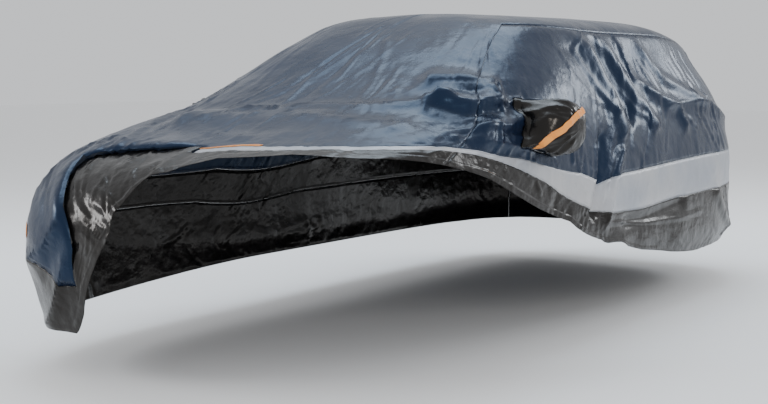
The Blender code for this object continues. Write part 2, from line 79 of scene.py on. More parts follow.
# Where the sheets end, as ring numbers, at places round the car.  Places are
# parts of one turn: 0 front middle, 0.25 left side, 0.5 rear, 0.75 right side.
EDGES = (
    # place   above   band   band    hem
    #         band    top    bottom
    (0.000,   6.40,   6.46,   6.57,   7.11),
    (0.016,   6.26,   6.35,   6.47,   6.71),
    (0.045,   6.17,   6.26,   6.37,   6.53),
    (0.073,   6.14,   6.24,   6.36,   6.65),
    (0.096,   6.10,   6.26,   6.37,   6.76),
    (0.112,   6.02,   6.26,   6.39,   6.81),
    (0.128,   5.95,   6.18,   6.42,   6.92),
    (0.150,   5.90,   6.16,   6.49,   7.05),
    (0.168,   5.88,   6.14,   6.62,   7.12),
    (0.186,   5.86,   6.12,   6.74,   7.22),
    (0.205,   5.88,   6.22,   6.86,   7.50),
    (0.218,   5.95,   6.36,   6.99,   7.70),
    (0.228,   5.85,   6.24,   7.05,   7.85),
    (0.250,   5.65,   6.17,   7.18,   8.20),
    (0.278,   5.55,   6.12,   7.24,   8.86),
    (0.315,   5.45,   6.05,   7.12,   9.40),
    (0.350,   5.40,   5.98,   7.06,   9.80),
    (0.384,   5.35,   5.93,   7.03,  10.00),
    (0.430,   5.35,   5.92,   7.00,  10.00),
    (0.570,   5.35,   5.92,   7.00,  10.00),
    (0.616,   5.35,   5.93,   7.02,  10.00),
    (0.750,   5.55,   6.12,   7.10,  10.00),
    (0.850,   5.95,   6.60,   7.55,  10.00),
    (0.900,   6.55,   7.45,   8.25,  10.00),
    (0.928,   6.80,   8.08,   8.72,  10.00),
    (0.946,   6.88,   8.12,   9.20,  10.00),
    (0.953,   6.86,   8.12,   9.20,   9.60),
    (0.958,   6.66,   7.90,   8.50,   9.25),
    (0.968,   6.57,   7.45,   7.95,   8.54),
    (0.981,   6.50,   7.05,   7.40,   7.97),
    (0.990,   6.44,   6.85,   7.15,   7.74),
    (1.000,   6.40,   6.46,   6.57,   7.11),
)
EDGE_TABLE = np.array(EDGES)

# Columns of one half, front to rear: to this place, in this many steps.
COLUMN_STEPS = ((0.047, 6), (0.092, 4), (0.120, 3), (0.152, 4), (0.222, 5),
                (0.360, 8), (0.430, 6), (0.500, 4))
ROOF_SEAM = 2.25          # ring number of the seam along the roof edge

# Ends of the sheets round the car.
FRONT_SEAM = 0.092        # centre panel to side panel, both sides
REAR_SEAM = 0.430
CORNER_FOLD = 0.953       # upright fold of the outer cloth at the right front
BAND_END = 0.931          # front end of the right band

# Soft ridges (+) and troughs (-) of the main folds, each along a line.
FOLDS = (
    # name                 width  height  line as (place, ring) points
    ("fan, first",         0.070, 0.034, ((0.172, 2.2), (0.192, 3.0), (0.216, 4.2), (0.228, 5.0))),
    ("fan, trough",        0.060, -0.020, ((0.186, 2.2), (0.212, 3.0), (0.240, 4.6))),
    ("fan, second",        0.060, 0.020, ((0.202, 2.2), (0.232, 3.4), (0.270, 4.9))),
    ("fan, third",         0.055, 0.020, ((0.224, 2.2), (0.250, 3.6), (0.308, 4.4), (0.318, 5.0))),
    ("fan, fourth",        0.055, 0.018, ((0.262, 2.2), (0.302, 3.4), (0.362, 4.3))),
    ("swag at the rear",   0.070, 0.020, ((0.292, 4.3), (0.330, 4.2), (0.368, 4.2), (0.407, 4.8))),
    ("screen foot, long",  0.055, 0.026, ((0.960, 5.5), (0.980, 5.2), (0.042, 5.0), (0.071, 4.8))),
    ("screen foot, low",   0.050, 0.020, ((0.965, 5.6), (0.024, 5.4), (0.040, 5.5), (0.062, 5.65))),
    ("screen foot, loop",  0.075, 0.050, ((0.067, 4.8), (0.088, 4.9), (0.108, 4.7))),
    ("screen foot, peak",  0.070, 0.032, ((0.056, 4.1), (0.080, 4.15), (0.104, 4.3))),
    ("pocket, upper pull", 0.060, 0.040, ((0.098, 5.6), (0.114, 5.4), (0.130, 5.1))),
    ("pocket, lower pull", 0.050, 0.026, ((0.100, 6.0), (0.114, 5.9), (0.130, 5.8))),
    ("notch",              0.060, -0.035, ((0.206, 5.2), (0.214, 6.0), (0.219, 7.0))),
    ("behind the notch",   0.060, 0.020, ((0.232, 5.6), (0.236, 6.4), (0.240, 7.3))),
    ("below the band",     0.070, -0.020, ((0.258, 7.6), (0.290, 7.5), (0.320, 7.3))),
    ("rear skirt",         0.060, 0.018, ((0.372, 7.2), (0.400, 9.0))),
    ("corner, outer",      0.060, 0.022, ((0.951, 7.9), (0.945, 8.3), (0.933, 8.9))),
    ("corner, low",        0.050, 0.022, ((0.949, 8.9), (0.941, 9.4), (0.935, 9.9))),
    ("corner, side",       0.060, -0.020, ((0.925, 7.8), (0.915, 8.6), (0.912, 9.6))),
    ("right side, first",  0.060, 0.022, ((0.850, 2.3), (0.822, 3.6), (0.790, 4.9))),
    ("right side, second", 0.060, 0.020, ((0.800, 2.3), (0.765, 3.6), (0.720, 5.0))),
    ("right side, third",  0.060, 0.018, ((0.745, 2.3), (0.700, 3.6), (0.650, 4.8))),
    ("tail, left",         0.070, 0.018, ((0.445, 2.4), (0.460, 5.6))),
    ("tail, right",        0.070, 0.018, ((0.555, 2.4), (0.535, 5.6))),
)

# The outer cloth lies folded over the gathered skirt along this line.
FOLD_LINE = ((0.953, 9.20), (0.953, 6.86), (0.958, 6.66), (0.968, 6.57), (0.981, 6.50),
             (1.000, 6.40))
FOLD_RISE = 0.010         # outer cloth above the form at the fold
SKIRT_SINK = 0.008        # skirt below the form at the fold
FOLD_REACH = 0.014        # how far the outer cloth reaches over the skirt
FOLD_FADE = 0.10          # how far from the fold both are back on the form
FOLD_END = 1.000          # place where the fold ends on the hood
FOLD_FADE_PLACE = 0.016   # share of a turn in which it comes up from that end
FOLD_FADE_RINGS = 0.9     # rings in which it comes up from its low end
FOLD_FELT = 0.02          # share of a turn beside the fold that still feels it

# Mirror pocket, as loops from the rim in the side panel out to the tip.
POCKET_PLACES = (0.120, 0.152)
POCKET_LOOPS = (
    # name      out    half    half    back    up      share of the
    #                  length  height                  rim's shape
    ("root",    0.030, 0.168,  0.126, -0.006, -0.006,  1.00),
    ("middle",  0.085, 0.158,  0.128,  0.000, -0.006,  0.50),
    ("face",    0.140, 0.134,  0.116,  0.010, -0.002,  0.20),
    ("edge",    0.182, 0.092,  0.082,  0.020,  0.000,  0.05),
    ("tip",     0.200, 0.040,  0.036,  0.024,  0.000,  0.00),
)
RIM_INSET = 0.0030        # rim of the pocket inside the opening's edge
RIM_TAPER = 0.93          # size of the rim's shape a little way out
POCKET_POWER = 2.6        # squareness of a loop

# Middle line of the pocket's orange strip, from the low inner end in front to
# the upper outer end: loop number, and degrees round the loop (0 to the rear,
# 90 up, 180 to the front).
POCKET_STRIP_LINE = (
    # loop   round
    (1.45,   208.0),
    (2.00,   204.0),
    (3.00,   192.0),
    (3.90,   180.0),
    (4.50,   160.0),
    (4.72,   122.0),
    (4.55,    80.0),
    (4.15,    56.0),
)
POCKET_STRIP_WIDTH = 0.030

# ---------------------------------------------------------------- the form
def smoothstep(value):
    value = np.clip(value, 0.0, 1.0)
    return value * value * (3.0 - 2.0 * value)


def ring_row(ring):
    """The form's seven columns at any ring number, on a smooth curve."""
    last = len(RING_ROWS) - 1
    ring = np.clip(np.asarray(ring, float), 0.0, last - 1e-9)
    low = np.floor(ring).astype(int)
    part = (ring - low)[..., None]
    before, here = RING_ROWS[np.clip(low - 1, 0, last)], RING_ROWS[low]
    after, beyond = RING_ROWS[np.clip(low + 1, 0, last)], RING_ROWS[np.clip(low + 2, 0, last)]
    slope_here, slope_after = (after - before) / 2.0, (beyond - here) / 2.0
    square, cube = part ** 2, part ** 3
    return ((2 * cube - 3 * square + 1) * here + (cube - 2 * square + part) * slope_here
            + (3 * square - 2 * cube) * after + (cube - square) * slope_after)


def rounded(value, power):
    return np.sign(value) * np.abs(value) ** (2.0 / power)


def on_ring(angle, ring):
    """Point of the smooth form, from the plan angle and the ring number."""
    front, rear, half, power, z_front, z_side, z_rear = np.moveaxis(ring_row(ring), -1, 0)
    along = rounded(np.cos(angle), power)
    x = half * rounded(np.sin(angle), power)
    y = (front + rear) / 2.0 - (rear - front) / 2.0 * along
    to_front = smoothstep((along - 0.15) / 0.72)
    to_rear = smoothstep((-along - 0.30) / 0.60)
    z = z_side + (z_front - z_side) * to_front + (z_rear - z_side) * to_rear
    return np.stack([x, y - ROOF_MIDDLE, z - ROOF_HEIGHT], -1)


def column_angles():
    """Plan angle against place, even along the reference ring."""
    angles = np.linspace(0.0, 2.0 * math.pi, 4001)
    points = on_ring(angles, np.full_like(angles, REFERENCE_RING))[:, :2]
    steps = np.hypot(*np.diff(points, axis=0).T)
    travel = np.concatenate([[0.0], np.cumsum(steps)])
    return travel / travel[-1], angles


PLACE_TABLE, ANGLE_TABLE = column_angles()


def lean(place, ring):
    """How far a column leans out of its own place, so that it hangs upright.

    One lean is at the fold of the right front corner.  The other is at both
    mirrors, where the rings lie far behind each other.
    """
    corner = smoothstep((place - 0.900) / 0.045) * smoothstep((1.0 - place) / 0.030)
    half = np.minimum(place, 1.0 - place)
    mirror = smoothstep((half - 0.055) / 0.060) * smoothstep((0.250 - half) / 0.105)
    upright = MIRROR_LEAN * np.tanh((ring - MIRROR_RING) / 0.85) * np.sign(0.5 - place)
    return 0.019 * corner * smoothstep((ring - 6.8) / 1.8) + mirror * upright


def smooth_form(place, ring):
    place, ring = np.broadcast_arrays(np.asarray(place, float) % 1.0, np.asarray(ring, float))
    leaned = place + lean(place, ring)
    return on_ring(np.interp(leaned % 1.0, PLACE_TABLE, ANGLE_TABLE), ring)


def form_normal(place, ring):
    """Outward unit normal of the smooth form."""
    place, ring = np.broadcast_arrays(np.asarray(place, float), np.asarray(ring, float))
    ring = np.clip(ring, RING_END, len(RINGS) - 1 - RING_END)
    round_it = smooth_form(place + STEP_PLACE, ring) - smooth_form(place - STEP_PLACE, ring)
    down_it = smooth_form(place, ring + STEP_RING) - smooth_form(place, ring - STEP_RING)
    normal = np.cross(down_it, round_it)
    return normal / np.maximum(np.linalg.norm(normal, axis=-1, keepdims=True), 1e-12)


def distance_to_line(place, ring, line):
    """Distance on the cloth, in metres, from a point to a line of (place, ring) points."""
    nearest = np.full(np.broadcast(place, ring).shape, np.inf)
    for (place_a, ring_a), (place_b, ring_b) in zip(line, line[1:]):
        run_place = ((place_b - place_a + 0.5) % 1.0 - 0.5) * METRES_ROUND
        run_ring = (ring_b - ring_a) * METRES_A_RING
        off_place = ((place - place_a + 0.5) % 1.0 - 0.5) * METRES_ROUND
        off_ring = (ring - ring_a) * METRES_A_RING
        share = (off_place * run_place + off_ring * run_ring) / (run_place ** 2 + run_ring ** 2)
        share = np.clip(share, 0.0, 1.0)
        away = np.hypot(off_place - share * run_place, off_ring - share * run_ring)
        nearest = np.minimum(nearest, away)
    return nearest


def fold_height(place, ring):
    """Sum of the soft ridges and troughs at a point of the form."""
    total = np.zeros(np.broadcast(place, ring).shape)
    for _, width, height, line in FOLDS:
        total += height * np.exp(-(distance_to_line(place, ring, line) / width) ** 2)
    return total * smoothstep((np.asarray(ring) - ROOF_SEAM) / 0.6)


def fold_window(place, ring):
    """1 along the middle of the folded stretch, 0 at its two ends."""
    low_end = smoothstep((FOLD_LINE[0][1] - ring) / FOLD_FADE_RINGS)
    return low_end * smoothstep((FOLD_END - np.asarray(place)) / FOLD_FADE_PLACE)


def cloth_point(place, ring, rise=0.0):
    height = fold_height(place, ring) + rise
    return smooth_form(place, ring) + form_normal(place, ring) * np.asarray(height)[..., None]


# ---------------------------------------------------------------- fine detail
# Sharp creases with a place of their own: width, height, (place, ring) points.
CREASES = (
    ("screen foot, first",  0.016, 0.012, ((0.975, 5.20), (0.008, 5.06), (0.042, 4.99), (0.071, 4.79))),
    ("screen foot, second", 0.014, 0.010, ((0.978, 5.40), (0.024, 5.38), (0.037, 5.49), (0.062, 5.64))),
    ("screen foot, third",  0.012, 0.008, ((0.990, 5.30), (0.030, 5.22), (0.060, 5.30))),
    ("loop",                0.018, 0.020, ((0.067, 4.86), (0.088, 5.04), (0.111, 4.76), (0.127, 4.53))),
    ("loop, under",         0.016, -0.016, ((0.066, 5.02), (0.086, 5.22), (0.108, 5.02))),
    ("pleat",               0.014, 0.014, ((0.054, 4.13), (0.112, 4.13), (0.114, 4.64))),
    ("pleat, lower",        0.012, 0.010, ((0.060, 4.34), (0.104, 4.36), (0.108, 4.70))),
    ("pull to the pocket",  0.012, 0.012, ((0.080, 5.72), (0.104, 5.60), (0.126, 5.42))),
    ("pull, lower",         0.010, 0.009, ((0.086, 5.96), (0.108, 5.86), (0.128, 5.66))),
    ("pull, lowest",        0.009, 0.007, ((0.092, 6.06), (0.112, 6.02), (0.128, 5.92))),
    ("behind the pocket",   0.018, 0.012, ((0.156, 4.60), (0.164, 5.20), (0.174, 5.90))),
    ("fan, edge",           0.018, 0.012, ((0.180, 2.30), (0.172, 2.9), (0.192, 3.6), (0.216, 4.4))),
    ("fan, second edge",    0.016, 0.010, ((0.226, 2.3), (0.250, 3.58), (0.308, 4.39), (0.318, 4.99))),
    ("fan, third edge",     0.016, 0.008, ((0.200, 2.4), (0.226, 3.7), (0.262, 4.9))),
    ("swag",                0.016, 0.009, ((0.292, 4.34), (0.330, 4.24), (0.368, 4.24), (0.407, 4.79))),
    ("notch, front lip",    0.014, 0.012, ((0.198, 5.4), (0.207, 6.1), (0.212, 6.9))),
    ("notch, rear lip",     0.014, 0.014, ((0.226, 5.5), (0.226, 6.3), (0.230, 7.1))),
    ("notch, bottom",       0.010, -0.014, ((0.209, 5.5), (0.216, 6.2), (0.220, 7.3))),
    ("under the band",      0.018, 0.010, ((0.250, 7.5), (0.282, 7.75), (0.320, 7.9), (0.350, 7.8))),
    ("tail corner, left",   0.018, 0.012, ((0.392, 7.1), (0.404, 8.4), (0.398, 9.6))),
    ("tail corner, second", 0.016, 0.009, ((0.414, 2.5), (0.420, 4.2), (0.428, 5.7))),
    ("corner, upright",     0.016, 0.014, ((0.955, 7.94), (0.946, 8.34), (0.940, 8.62), (0.933, 8.90))),
    ("corner, low",         0.014, 0.012, ((0.949, 8.97), (0.942, 9.4), (0.935, 9.83))),
    ("corner, side",        0.014, 0.010, ((0.922, 7.2), (0.914, 8.1), (0.918, 9.3))),
    ("corner, over",        0.016, 0.012, ((0.944, 6.3), (0.936, 7.2), (0.930, 8.0))),
    ("hood, right pull",    0.020, 0.012, ((0.940, 5.3), (0.950, 6.0), (0.962, 6.5))),
    ("hood, long pull",     0.018, 0.008, ((0.960, 5.6), (0.985, 5.9), (0.010, 6.1))),
)

# Families of small creases: how many, where (places, rings), how they run
# (degrees: 0 round the cover, 90 down; then spread), longest, width, height.
CREASE_FAMILIES = (
    # name                many  places          rings         run  spread  long  width  height
    ("screen foot",       70, (0.030, 0.125),  (3.9, 5.9),    20,  70,   0.26, 0.0085, 0.0065),
    ("screen foot right", 34, (-0.115, 0.020), (4.4, 5.8),   -15,  50,   0.34, 0.0095, 0.0048),
    ("hood",              46, (-0.110, 0.090), (5.3, 6.3),     5,  50,   0.36, 0.0110, 0.0034),
    ("screen",            26, (-0.110, 0.110), (2.2, 4.3),    80,  35,   0.60, 0.0180, 0.0036),
    ("roof",              26, (0.000, 1.000),  (0.3, 2.2),    60,  80,   0.60, 0.0200, 0.0024),
    ("left, hanging",     54, (0.155, 0.425),  (2.3, 5.7),    68,  26,   0.80, 0.0160, 0.0052),
    ("left, small",       60, (0.155, 0.425),  (2.5, 5.9),    55,  60,   0.26, 0.0090, 0.0026),
    ("round the pocket",  34, (0.095, 0.180),  (4.4, 6.0),    30,  60,   0.20, 0.0085, 0.0048),
    ("notch",             30, (0.190, 0.245),  (5.0, 7.2),    85,  35,   0.22, 0.0085, 0.0050),
    ("right, hanging",    54, (0.575, 0.845),  (2.3, 5.7),   112,  26,   0.80, 0.0160, 0.0052),
    ("right, small",      60, (0.575, 0.900),  (2.5, 6.5),   120,  60,   0.26, 0.0090, 0.0026),
    ("tail",              44, (0.425, 0.575),  (2.4, 5.8),    90,  40,   0.55, 0.0140, 0.0042),
    ("front corner",      60, (0.905, 0.985),  (6.0, 8.8),   100,  50,   0.26, 0.0090, 0.0055),
    ("bands",             90, (0.100, 0.900),  (5.8, 7.1),    90,  35,   0.20, 0.0120, 0.0040),
    ("skirt, slack",      70, (0.120, 0.940),  (7.0, 9.8),    80,  50,   0.34, 0.0130, 0.0050),
)

# Crumpled zones: middle (place, ring), reach in metres, height of the crumple.
CRUMPLES = (
    ("everywhere",        0.50, 5.0, 9.00, 0.0012),
    ("screen foot left",  0.082, 4.8, 0.34, 0.0110),
    ("screen foot right", 0.955, 4.9, 0.40, 0.0050),
    ("hood edge",         0.020, 6.1, 0.45, 0.0030),
    ("left pocket",       0.120, 5.7, 0.24, 0.0060),
    ("notch",             0.216, 6.3, 0.20, 0.0050),
    ("front corner",      0.950, 7.6, 0.50, 0.0080),
)

# Crests of crumpled cloth, coarse to fine; cells in metres.
CRUMPLE_LAYERS = (
    # share  wide   deep   shift     seed
    (1.00,   0.200, 0.160, 0.0, 0.0, 5),
    (0.55,   0.095, 0.085, 7.0, 0.0, 6),
    (0.30,   0.046, 0.044, 0.0, 3.0, 7),
)
CRUMPLE_SHARES = 1.85     # all their shares together

GATHER_STEP = 0.034       # one gather of the elastic hem
GATHER_HEIGHT = 0.0095    # at the hem
GATHER_FADE = 0.17        # how far up the skirt the gathers run
CASING = 0.036            # width of the hem's casing
CASING_RISE = 0.0035
FRONT_GATHERS = 2.0       # the pulled-up front is gathered this much more
FAN_MIDDLE = (0.930, 7.0) # where the gathers of the pulled-up front meet
FAN_RADIUS = 0.50         # turns their angle into metres
PUCKER_STEP = 0.028       # ripples along the seams
PUCKER_HEIGHT = 0.0013
PUCKER_FADE = 0.030
FRONT_GATHER_ENDS = ((0.936, 0.016), (1.004, 0.03))    # place, share of a turn that fades
FRONT_GATHER_LOW_END = (9.3, 0.5)                      # ring, rings that fade
HEM_SAMPLES = 700
POINTS_AT_ONCE = 4000     # keeps the tables of distances small
FAR_AWAY = 9.0            # metres, where a seam doesn't pass
SLACK_HANGING = 0.016     # depth of the broad waves where the cloth hangs
SLACK_ROOF = 0.005        # and on the roof


def hashed(column, row, seed):
    """A fixed number from 0 to 1 for every corner of a lattice."""
    value = np.sin(column * 127.1 + row * 311.7 + seed * 74.7) * 43758.5453
    return value - np.floor(value)


def soft_noise(x, y, seed):
    """Smooth noise from 0 to 1 with cells of size 1."""
    column, row = np.floor(x), np.floor(y)
    across, down = smoothstep(x - column), smoothstep(y - row)
    top = hashed(column, row, seed) * (1 - across) + hashed(column + 1, row, seed) * across
    low = hashed(column, row + 1, seed) * (1 - across) + hashed(column + 1, row + 1, seed) * across
    return top * (1 - down) + low * down


def ridged(x, y, seed):
    """Noise with sharp crests at 1."""
    return 1.0 - np.abs(2.0 * soft_noise(x, y, seed) - 1.0)


def crumple(u, v):
    """Crests of crumpled cloth, about -0.5 to 0.5, in cells of 5 to 20 cm."""
    bend_u = u + 0.10 * soft_noise(u / 0.21, v / 0.21, 3)
    bend_v = v + 0.10 * soft_noise(u / 0.19, v / 0.23, 4)
    total = 0.0
    for share, wide, deep, shift_u, shift_v, seed in CRUMPLE_LAYERS:
        total = total + share * ridged(bend_u / wide + shift_u, bend_v / deep + shift_v, seed) ** 2
    return total / CRUMPLE_SHARES - 0.5


def small_creases():
    rng = np.random.default_rng(11)
    creases = []
    for name, many, places, rings, run, spread, longest, width, height in CREASE_FAMILIES:
        for _ in range(many):
            place, ring = rng.uniform(*places), rng.uniform(*rings)
            turn = math.radians(run + rng.uniform(-spread, spread))
            length = longest * rng.uniform(0.4, 1.0)
            bend = rng.uniform(-0.5, 0.5)
            line = []
            for share in (0.0, 0.35, 0.7, 1.0):
                heading = turn + bend * share
                line.append((place + share * length * math.cos(heading) / METRES_ROUND,
                             ring + share * length * math.sin(heading) / METRES_A_RING))
            sign = 1.0 if rng.random() < 0.72 else -0.8
            creases.append((width * rng.uniform(0.7, 1.4), sign * height * rng.uniform(0.5, 1.2), line))
    return creases


def crease_height(place, ring):
    """Sum of all sharp creases, each with a shallow trough on both sides."""
    total = np.zeros(place.shape)
    named = [(width, height, line) for _, width, height, line in CREASES]
    for width, height, line in named + small_creases():
        places = np.array([point[0] for point in line])
        rings = np.array([point[1] for point in line])
        middle = places.mean() if np.ptp(places) < 0.5 else 0.0
        reach_u = 0.5 * np.ptp(((places - middle + 0.5) % 1.0 - 0.5)) + 4 * width / METRES_ROUND
        near = np.abs((place - middle + 0.5) % 1.0 - 0.5) < reach_u + 0.01
        near &= (ring > rings.min() - 4 * width / METRES_A_RING)
        near &= (ring < rings.max() + 4 * width / METRES_A_RING)
        if not near.any():
            continue
        away = distance_to_line(place[near], ring[near], line)
        ridge = np.exp(-(away / width) ** 2) - 0.38 * np.exp(-(away / (2.4 * width)) ** 2)
        total[near] += height * ridge
    return total


def crumple_height(place, ring):
    u, v = place * METRES_ROUND, ring * METRES_A_RING
    strength = np.zeros(place.shape)
    for _, middle_place, middle_ring, reach, height in CRUMPLES:
        off_u = ((place - middle_place + 0.5) % 1.0 - 0.5) * METRES_ROUND
        off_v = (ring - middle_ring) * METRES_A_RING
        strength += height * np.exp(-(np.hypot(off_u, off_v) / reach) ** 2)
    return strength * crumple(u, v) * smoothstep(ring / 1.2)


def slack_height(place, ring):
    """Broad, soft waves of cloth that hangs free."""
    u, v = place * METRES_ROUND, ring * METRES_A_RING
    hanging = smoothstep((ring - 2.0) / 1.5)
    waves = soft_noise(u / 0.42 + 0.25 * v, v / 0.95, 21) - 0.5
    waves = waves + 0.5 * (soft_noise(u / 0.20 + 0.4 * v, v / 0.70, 22) - 0.5)
    roof = soft_noise(u / 0.9, v / 0.5, 23) - 0.5
    return (SLACK_HANGING * hanging * waves
            + SLACK_ROOF * (1.0 - hanging) * roof * smoothstep(ring))


# ---------------------------------------------------------------- seams and hem
def edge_at(place, column):
    return np.interp(place % 1.0, EDGE_TABLE[:, 0], EDGE_TABLE[:, column])


def seam_distance(place, ring):
    """Metres from a point to the nearest seam line."""
    place = place % 1.0
    mirrored = np.minimum(place, 1.0 - place)
    far = np.full(place.shape, FAR_AWAY)
    on_side = (mirrored > FRONT_SEAM) & (mirrored < REAR_SEAM)
    nearest = np.where(on_side, np.abs(ring - ROOF_SEAM) * METRES_A_RING, far)
    for seam in (FRONT_SEAM, REAR_SEAM):
        beside = np.where(ring > ROOF_SEAM, np.abs(mirrored - seam) * METRES_ROUND, far)
        nearest = np.minimum(nearest, beside)
    banded = place < BAND_END
    for column in (2, 3):
        below = np.abs(ring - edge_at(place, column)) * METRES_A_RING
        nearest = np.minimum(nearest, np.where(banded, below, far))
    return nearest


def hem_samples():
    places = np.linspace(0.0, 1.0, HEM_SAMPLES, endpoint=False)
    points = np.stack([places * METRES_ROUND, edge_at(places, 4) * METRES_A_RING], -1)
    ahead = np.roll(points, -1, axis=0) + np.array([[0.0, 0.0]] * (HEM_SAMPLES - 1)
                                                   + [[METRES_ROUND, 0.0]])
    steps = np.hypot(*(ahead - points).T)
    return points, np.concatenate([[0.0], np.cumsum(steps)[:-1]]), steps.sum()


HEM_POINTS, HEM_TRAVEL, HEM_LENGTH = hem_samples()


def hem_place(place, ring):
    """Distance from the hem, and where along the hem, in metres."""
    away, travel = np.empty(place.shape), np.empty(place.shape)
    for start in range(0, len(place), POINTS_AT_ONCE):
        part = slice(start, start + POINTS_AT_ONCE)
        off_u = place[part, None] * METRES_ROUND - HEM_POINTS[None, :, 0]
        off_u = (off_u + METRES_ROUND / 2) % METRES_ROUND - METRES_ROUND / 2
        off_v = ring[part, None] * METRES_A_RING - HEM_POINTS[None, :, 1]
        squared = off_u ** 2 + off_v ** 2
        nearest = squared.argmin(axis=1)
        weight = 1.0 / (squared + 0.0004) ** 2
        behind = HEM_TRAVEL[None, :] - HEM_TRAVEL[nearest][:, None]
        behind = (behind + HEM_LENGTH / 2) % HEM_LENGTH - HEM_LENGTH / 2
        travel[part] = HEM_TRAVEL[nearest] + (weight * behind).sum(1) / weight.sum(1)
        away[part] = np.sqrt(squared.min(axis=1))
    return away, travel


def fan_travel(place, ring):
    """Where round the fan of the pulled-up front a point lies, in metres, and how far out."""
    out_u = ((place - FAN_MIDDLE[0] + 0.5) % 1.0 - 0.5) * METRES_ROUND
    out_v = (ring - FAN_MIDDLE[1]) * METRES_A_RING
    return np.arctan2(out_v, np.maximum(out_u, 0.05)) * FAN_RADIUS, np.hypot(out_u, out_v)


def gather_height(place, ring):
    away, travel = hem_place(place, ring)
    u = travel / GATHER_STEP + 0.6 * soft_noise(travel / 0.3, away / 0.15, 31)
    folds = ridged(u * 0.5, away / 0.30, 32) ** 1.3
    folds = folds + 0.5 * ridged(u * 1.15 + 5.0, away / 0.16, 33) ** 1.3
    (start, start_fade), (stop, stop_fade) = FRONT_GATHER_ENDS
    low_end, low_fade = FRONT_GATHER_LOW_END
    front = smoothstep((place - start) / start_fade) * smoothstep((stop - place) / stop_fade)
    front = front * smoothstep((low_end - ring) / low_fade)
    turn, out = fan_travel(place, ring)
    turn = turn / (0.75 * GATHER_STEP) + 0.9 * soft_noise(turn / 0.12, out / 0.22, 34)
    fan = ridged(turn * 0.5, out / 0.26, 35) ** 1.4 + 0.6 * ridged(turn + 3.0, out / 0.13, 36) ** 1.4
    folds = folds * (1.0 - 0.85 * front) + 0.85 * front * fan
    strength = 1.0 + (FRONT_GATHERS - 1.0) * front
    fade = np.exp(-away / (GATHER_FADE * (1.0 + 2.5 * front)))
    above = smoothstep((away - 0.6 * CASING) / (0.8 * CASING))
    height = GATHER_HEIGHT * strength * fade * (folds / 1.5 - 0.42) * (0.30 + 0.70 * above)
    return height + CASING_RISE * (1.0 - smoothstep((away - 0.8 * CASING) / (0.35 * CASING)))


def pucker_height(place, ring):
    u, v = place * METRES_ROUND, ring * METRES_A_RING
    ripple = soft_noise((u + v) / PUCKER_STEP, (u - v) / 0.2, 41) - 0.5
    return 2.0 * PUCKER_HEIGHT * ripple * np.exp(-seam_distance(place, ring) / PUCKER_FADE)


def detail_height(place, ring, gathered):
    height = crease_height(place, ring) + crumple_height(place, ring)
    height += slack_height(place, ring) + pucker_height(place, ring)
    return height + gather_height(place, ring) if gathered else height


# ---------------------------------------------------------------- the fine grid
FINER = 8                 # columns here for each step of the table
ROW_COUNTS = (20, 48, 6, 9, 27)       # roof, glass, above the band, band, skirt
FIRST_GLASS, FIRST_OVER_BAND, FIRST_BAND, FIRST_SKIRT, LAST_ROW = np.cumsum(ROW_COUNTS)
OPENING_ROWS = (FIRST_GLASS + 30, FIRST_GLASS + 48)


def fine_places(finer):
    half, start = [0.0], 0.0
    for stop, steps in COLUMN_STEPS:
        count = steps * finer
        half += [start + (stop - start) * (k + 1) / count for k in range(count)]
        start = stop
    return np.array(half + [1.0 - place for place in reversed(half[1:-1])])


def fine_rings(places):
    knots = [np.zeros(len(places)), np.full(len(places), ROOF_SEAM)]
    knots += [edge_at(places, column) for column in (1, 2, 3, 4)]
    rings = [knots[0]]
    for count, top, bottom in zip(ROW_COUNTS, knots, knots[1:]):
        rings += [top + (bottom - top) * (k + 1) / count for k in range(count)]
    return np.stack(rings, 1)


def sheet_of_cell(place, row):
    """Name of the sheet that a cell belongs to, or None in a pocket's opening."""
    mirrored = min(place, 1.0 - place)
    side = "left" if place < 0.5 else "right"
    folded = place > CORNER_FOLD
    at_front, at_rear = mirrored < FRONT_SEAM, mirrored > REAR_SEAM
    region = "front" if at_front else "rear" if at_rear else side
    if row < FIRST_GLASS:
        return "centre_panel"
    if row >= FIRST_SKIRT or (folded and row >= FIRST_OVER_BAND):
        return f"{region}_skirt"
    if row >= FIRST_BAND and (place < 0.5 or place < BAND_END):
        return "rear_band" if at_rear else f"{side}_band"
    if at_front or at_rear:
        return "centre_panel"
    in_opening = (POCKET_PLACES[0] < mirrored < POCKET_PLACES[1]
                  and OPENING_ROWS[0] <= row < OPENING_ROWS[1])
    return None if in_opening else f"{side}_side_panel"


def sheet_cells(places):
    """Cells of every sheet, as a mask over columns and rows."""
    middles = (places + np.append(places[1:], 1.0)) / 2.0
    masks = {}
    for column, place in enumerate(middles):
        for row in range(LAST_ROW):
            name = sheet_of_cell(place, row)
            if name:
                masks.setdefault(name, np.zeros((len(places), LAST_ROW), bool))[column, row] = True
    return masks


PLACES = fine_places(FINER)
RINGS_FINE = fine_rings(PLACES)
CELLS = sheet_cells(PLACES)


FOLD_CLEAR = 0.006        # the folded cloth stands off this much more
FOLD_CURL = 0.007         # and its border curls in by this


def near_fold(place, ring):
    away = distance_to_line(place, ring, FOLD_LINE)
    beside = (place > CORNER_FOLD - FOLD_FELT) & (place < FOLD_END)
    return np.where(beside, fold_window(place, ring) * np.exp(-(away / FOLD_FADE) ** 2), 0.0)


def surface_points(name, place, ring, border=None):
    """Points of a sheet, with every fold, crease and gather."""
    height = detail_height(place % 1.0, ring, name.endswith("_skirt"))
    folded = near_fold(place, ring)
    if name == "centre_panel":
        curl = FOLD_CURL * border if border is not None else 0.0
        height = height + (FOLD_RISE + FOLD_CLEAR - curl) * folded
    if name == "front_skirt":
        height = height - SKIRT_SINK * folded
    return cloth_point(place, ring, height)


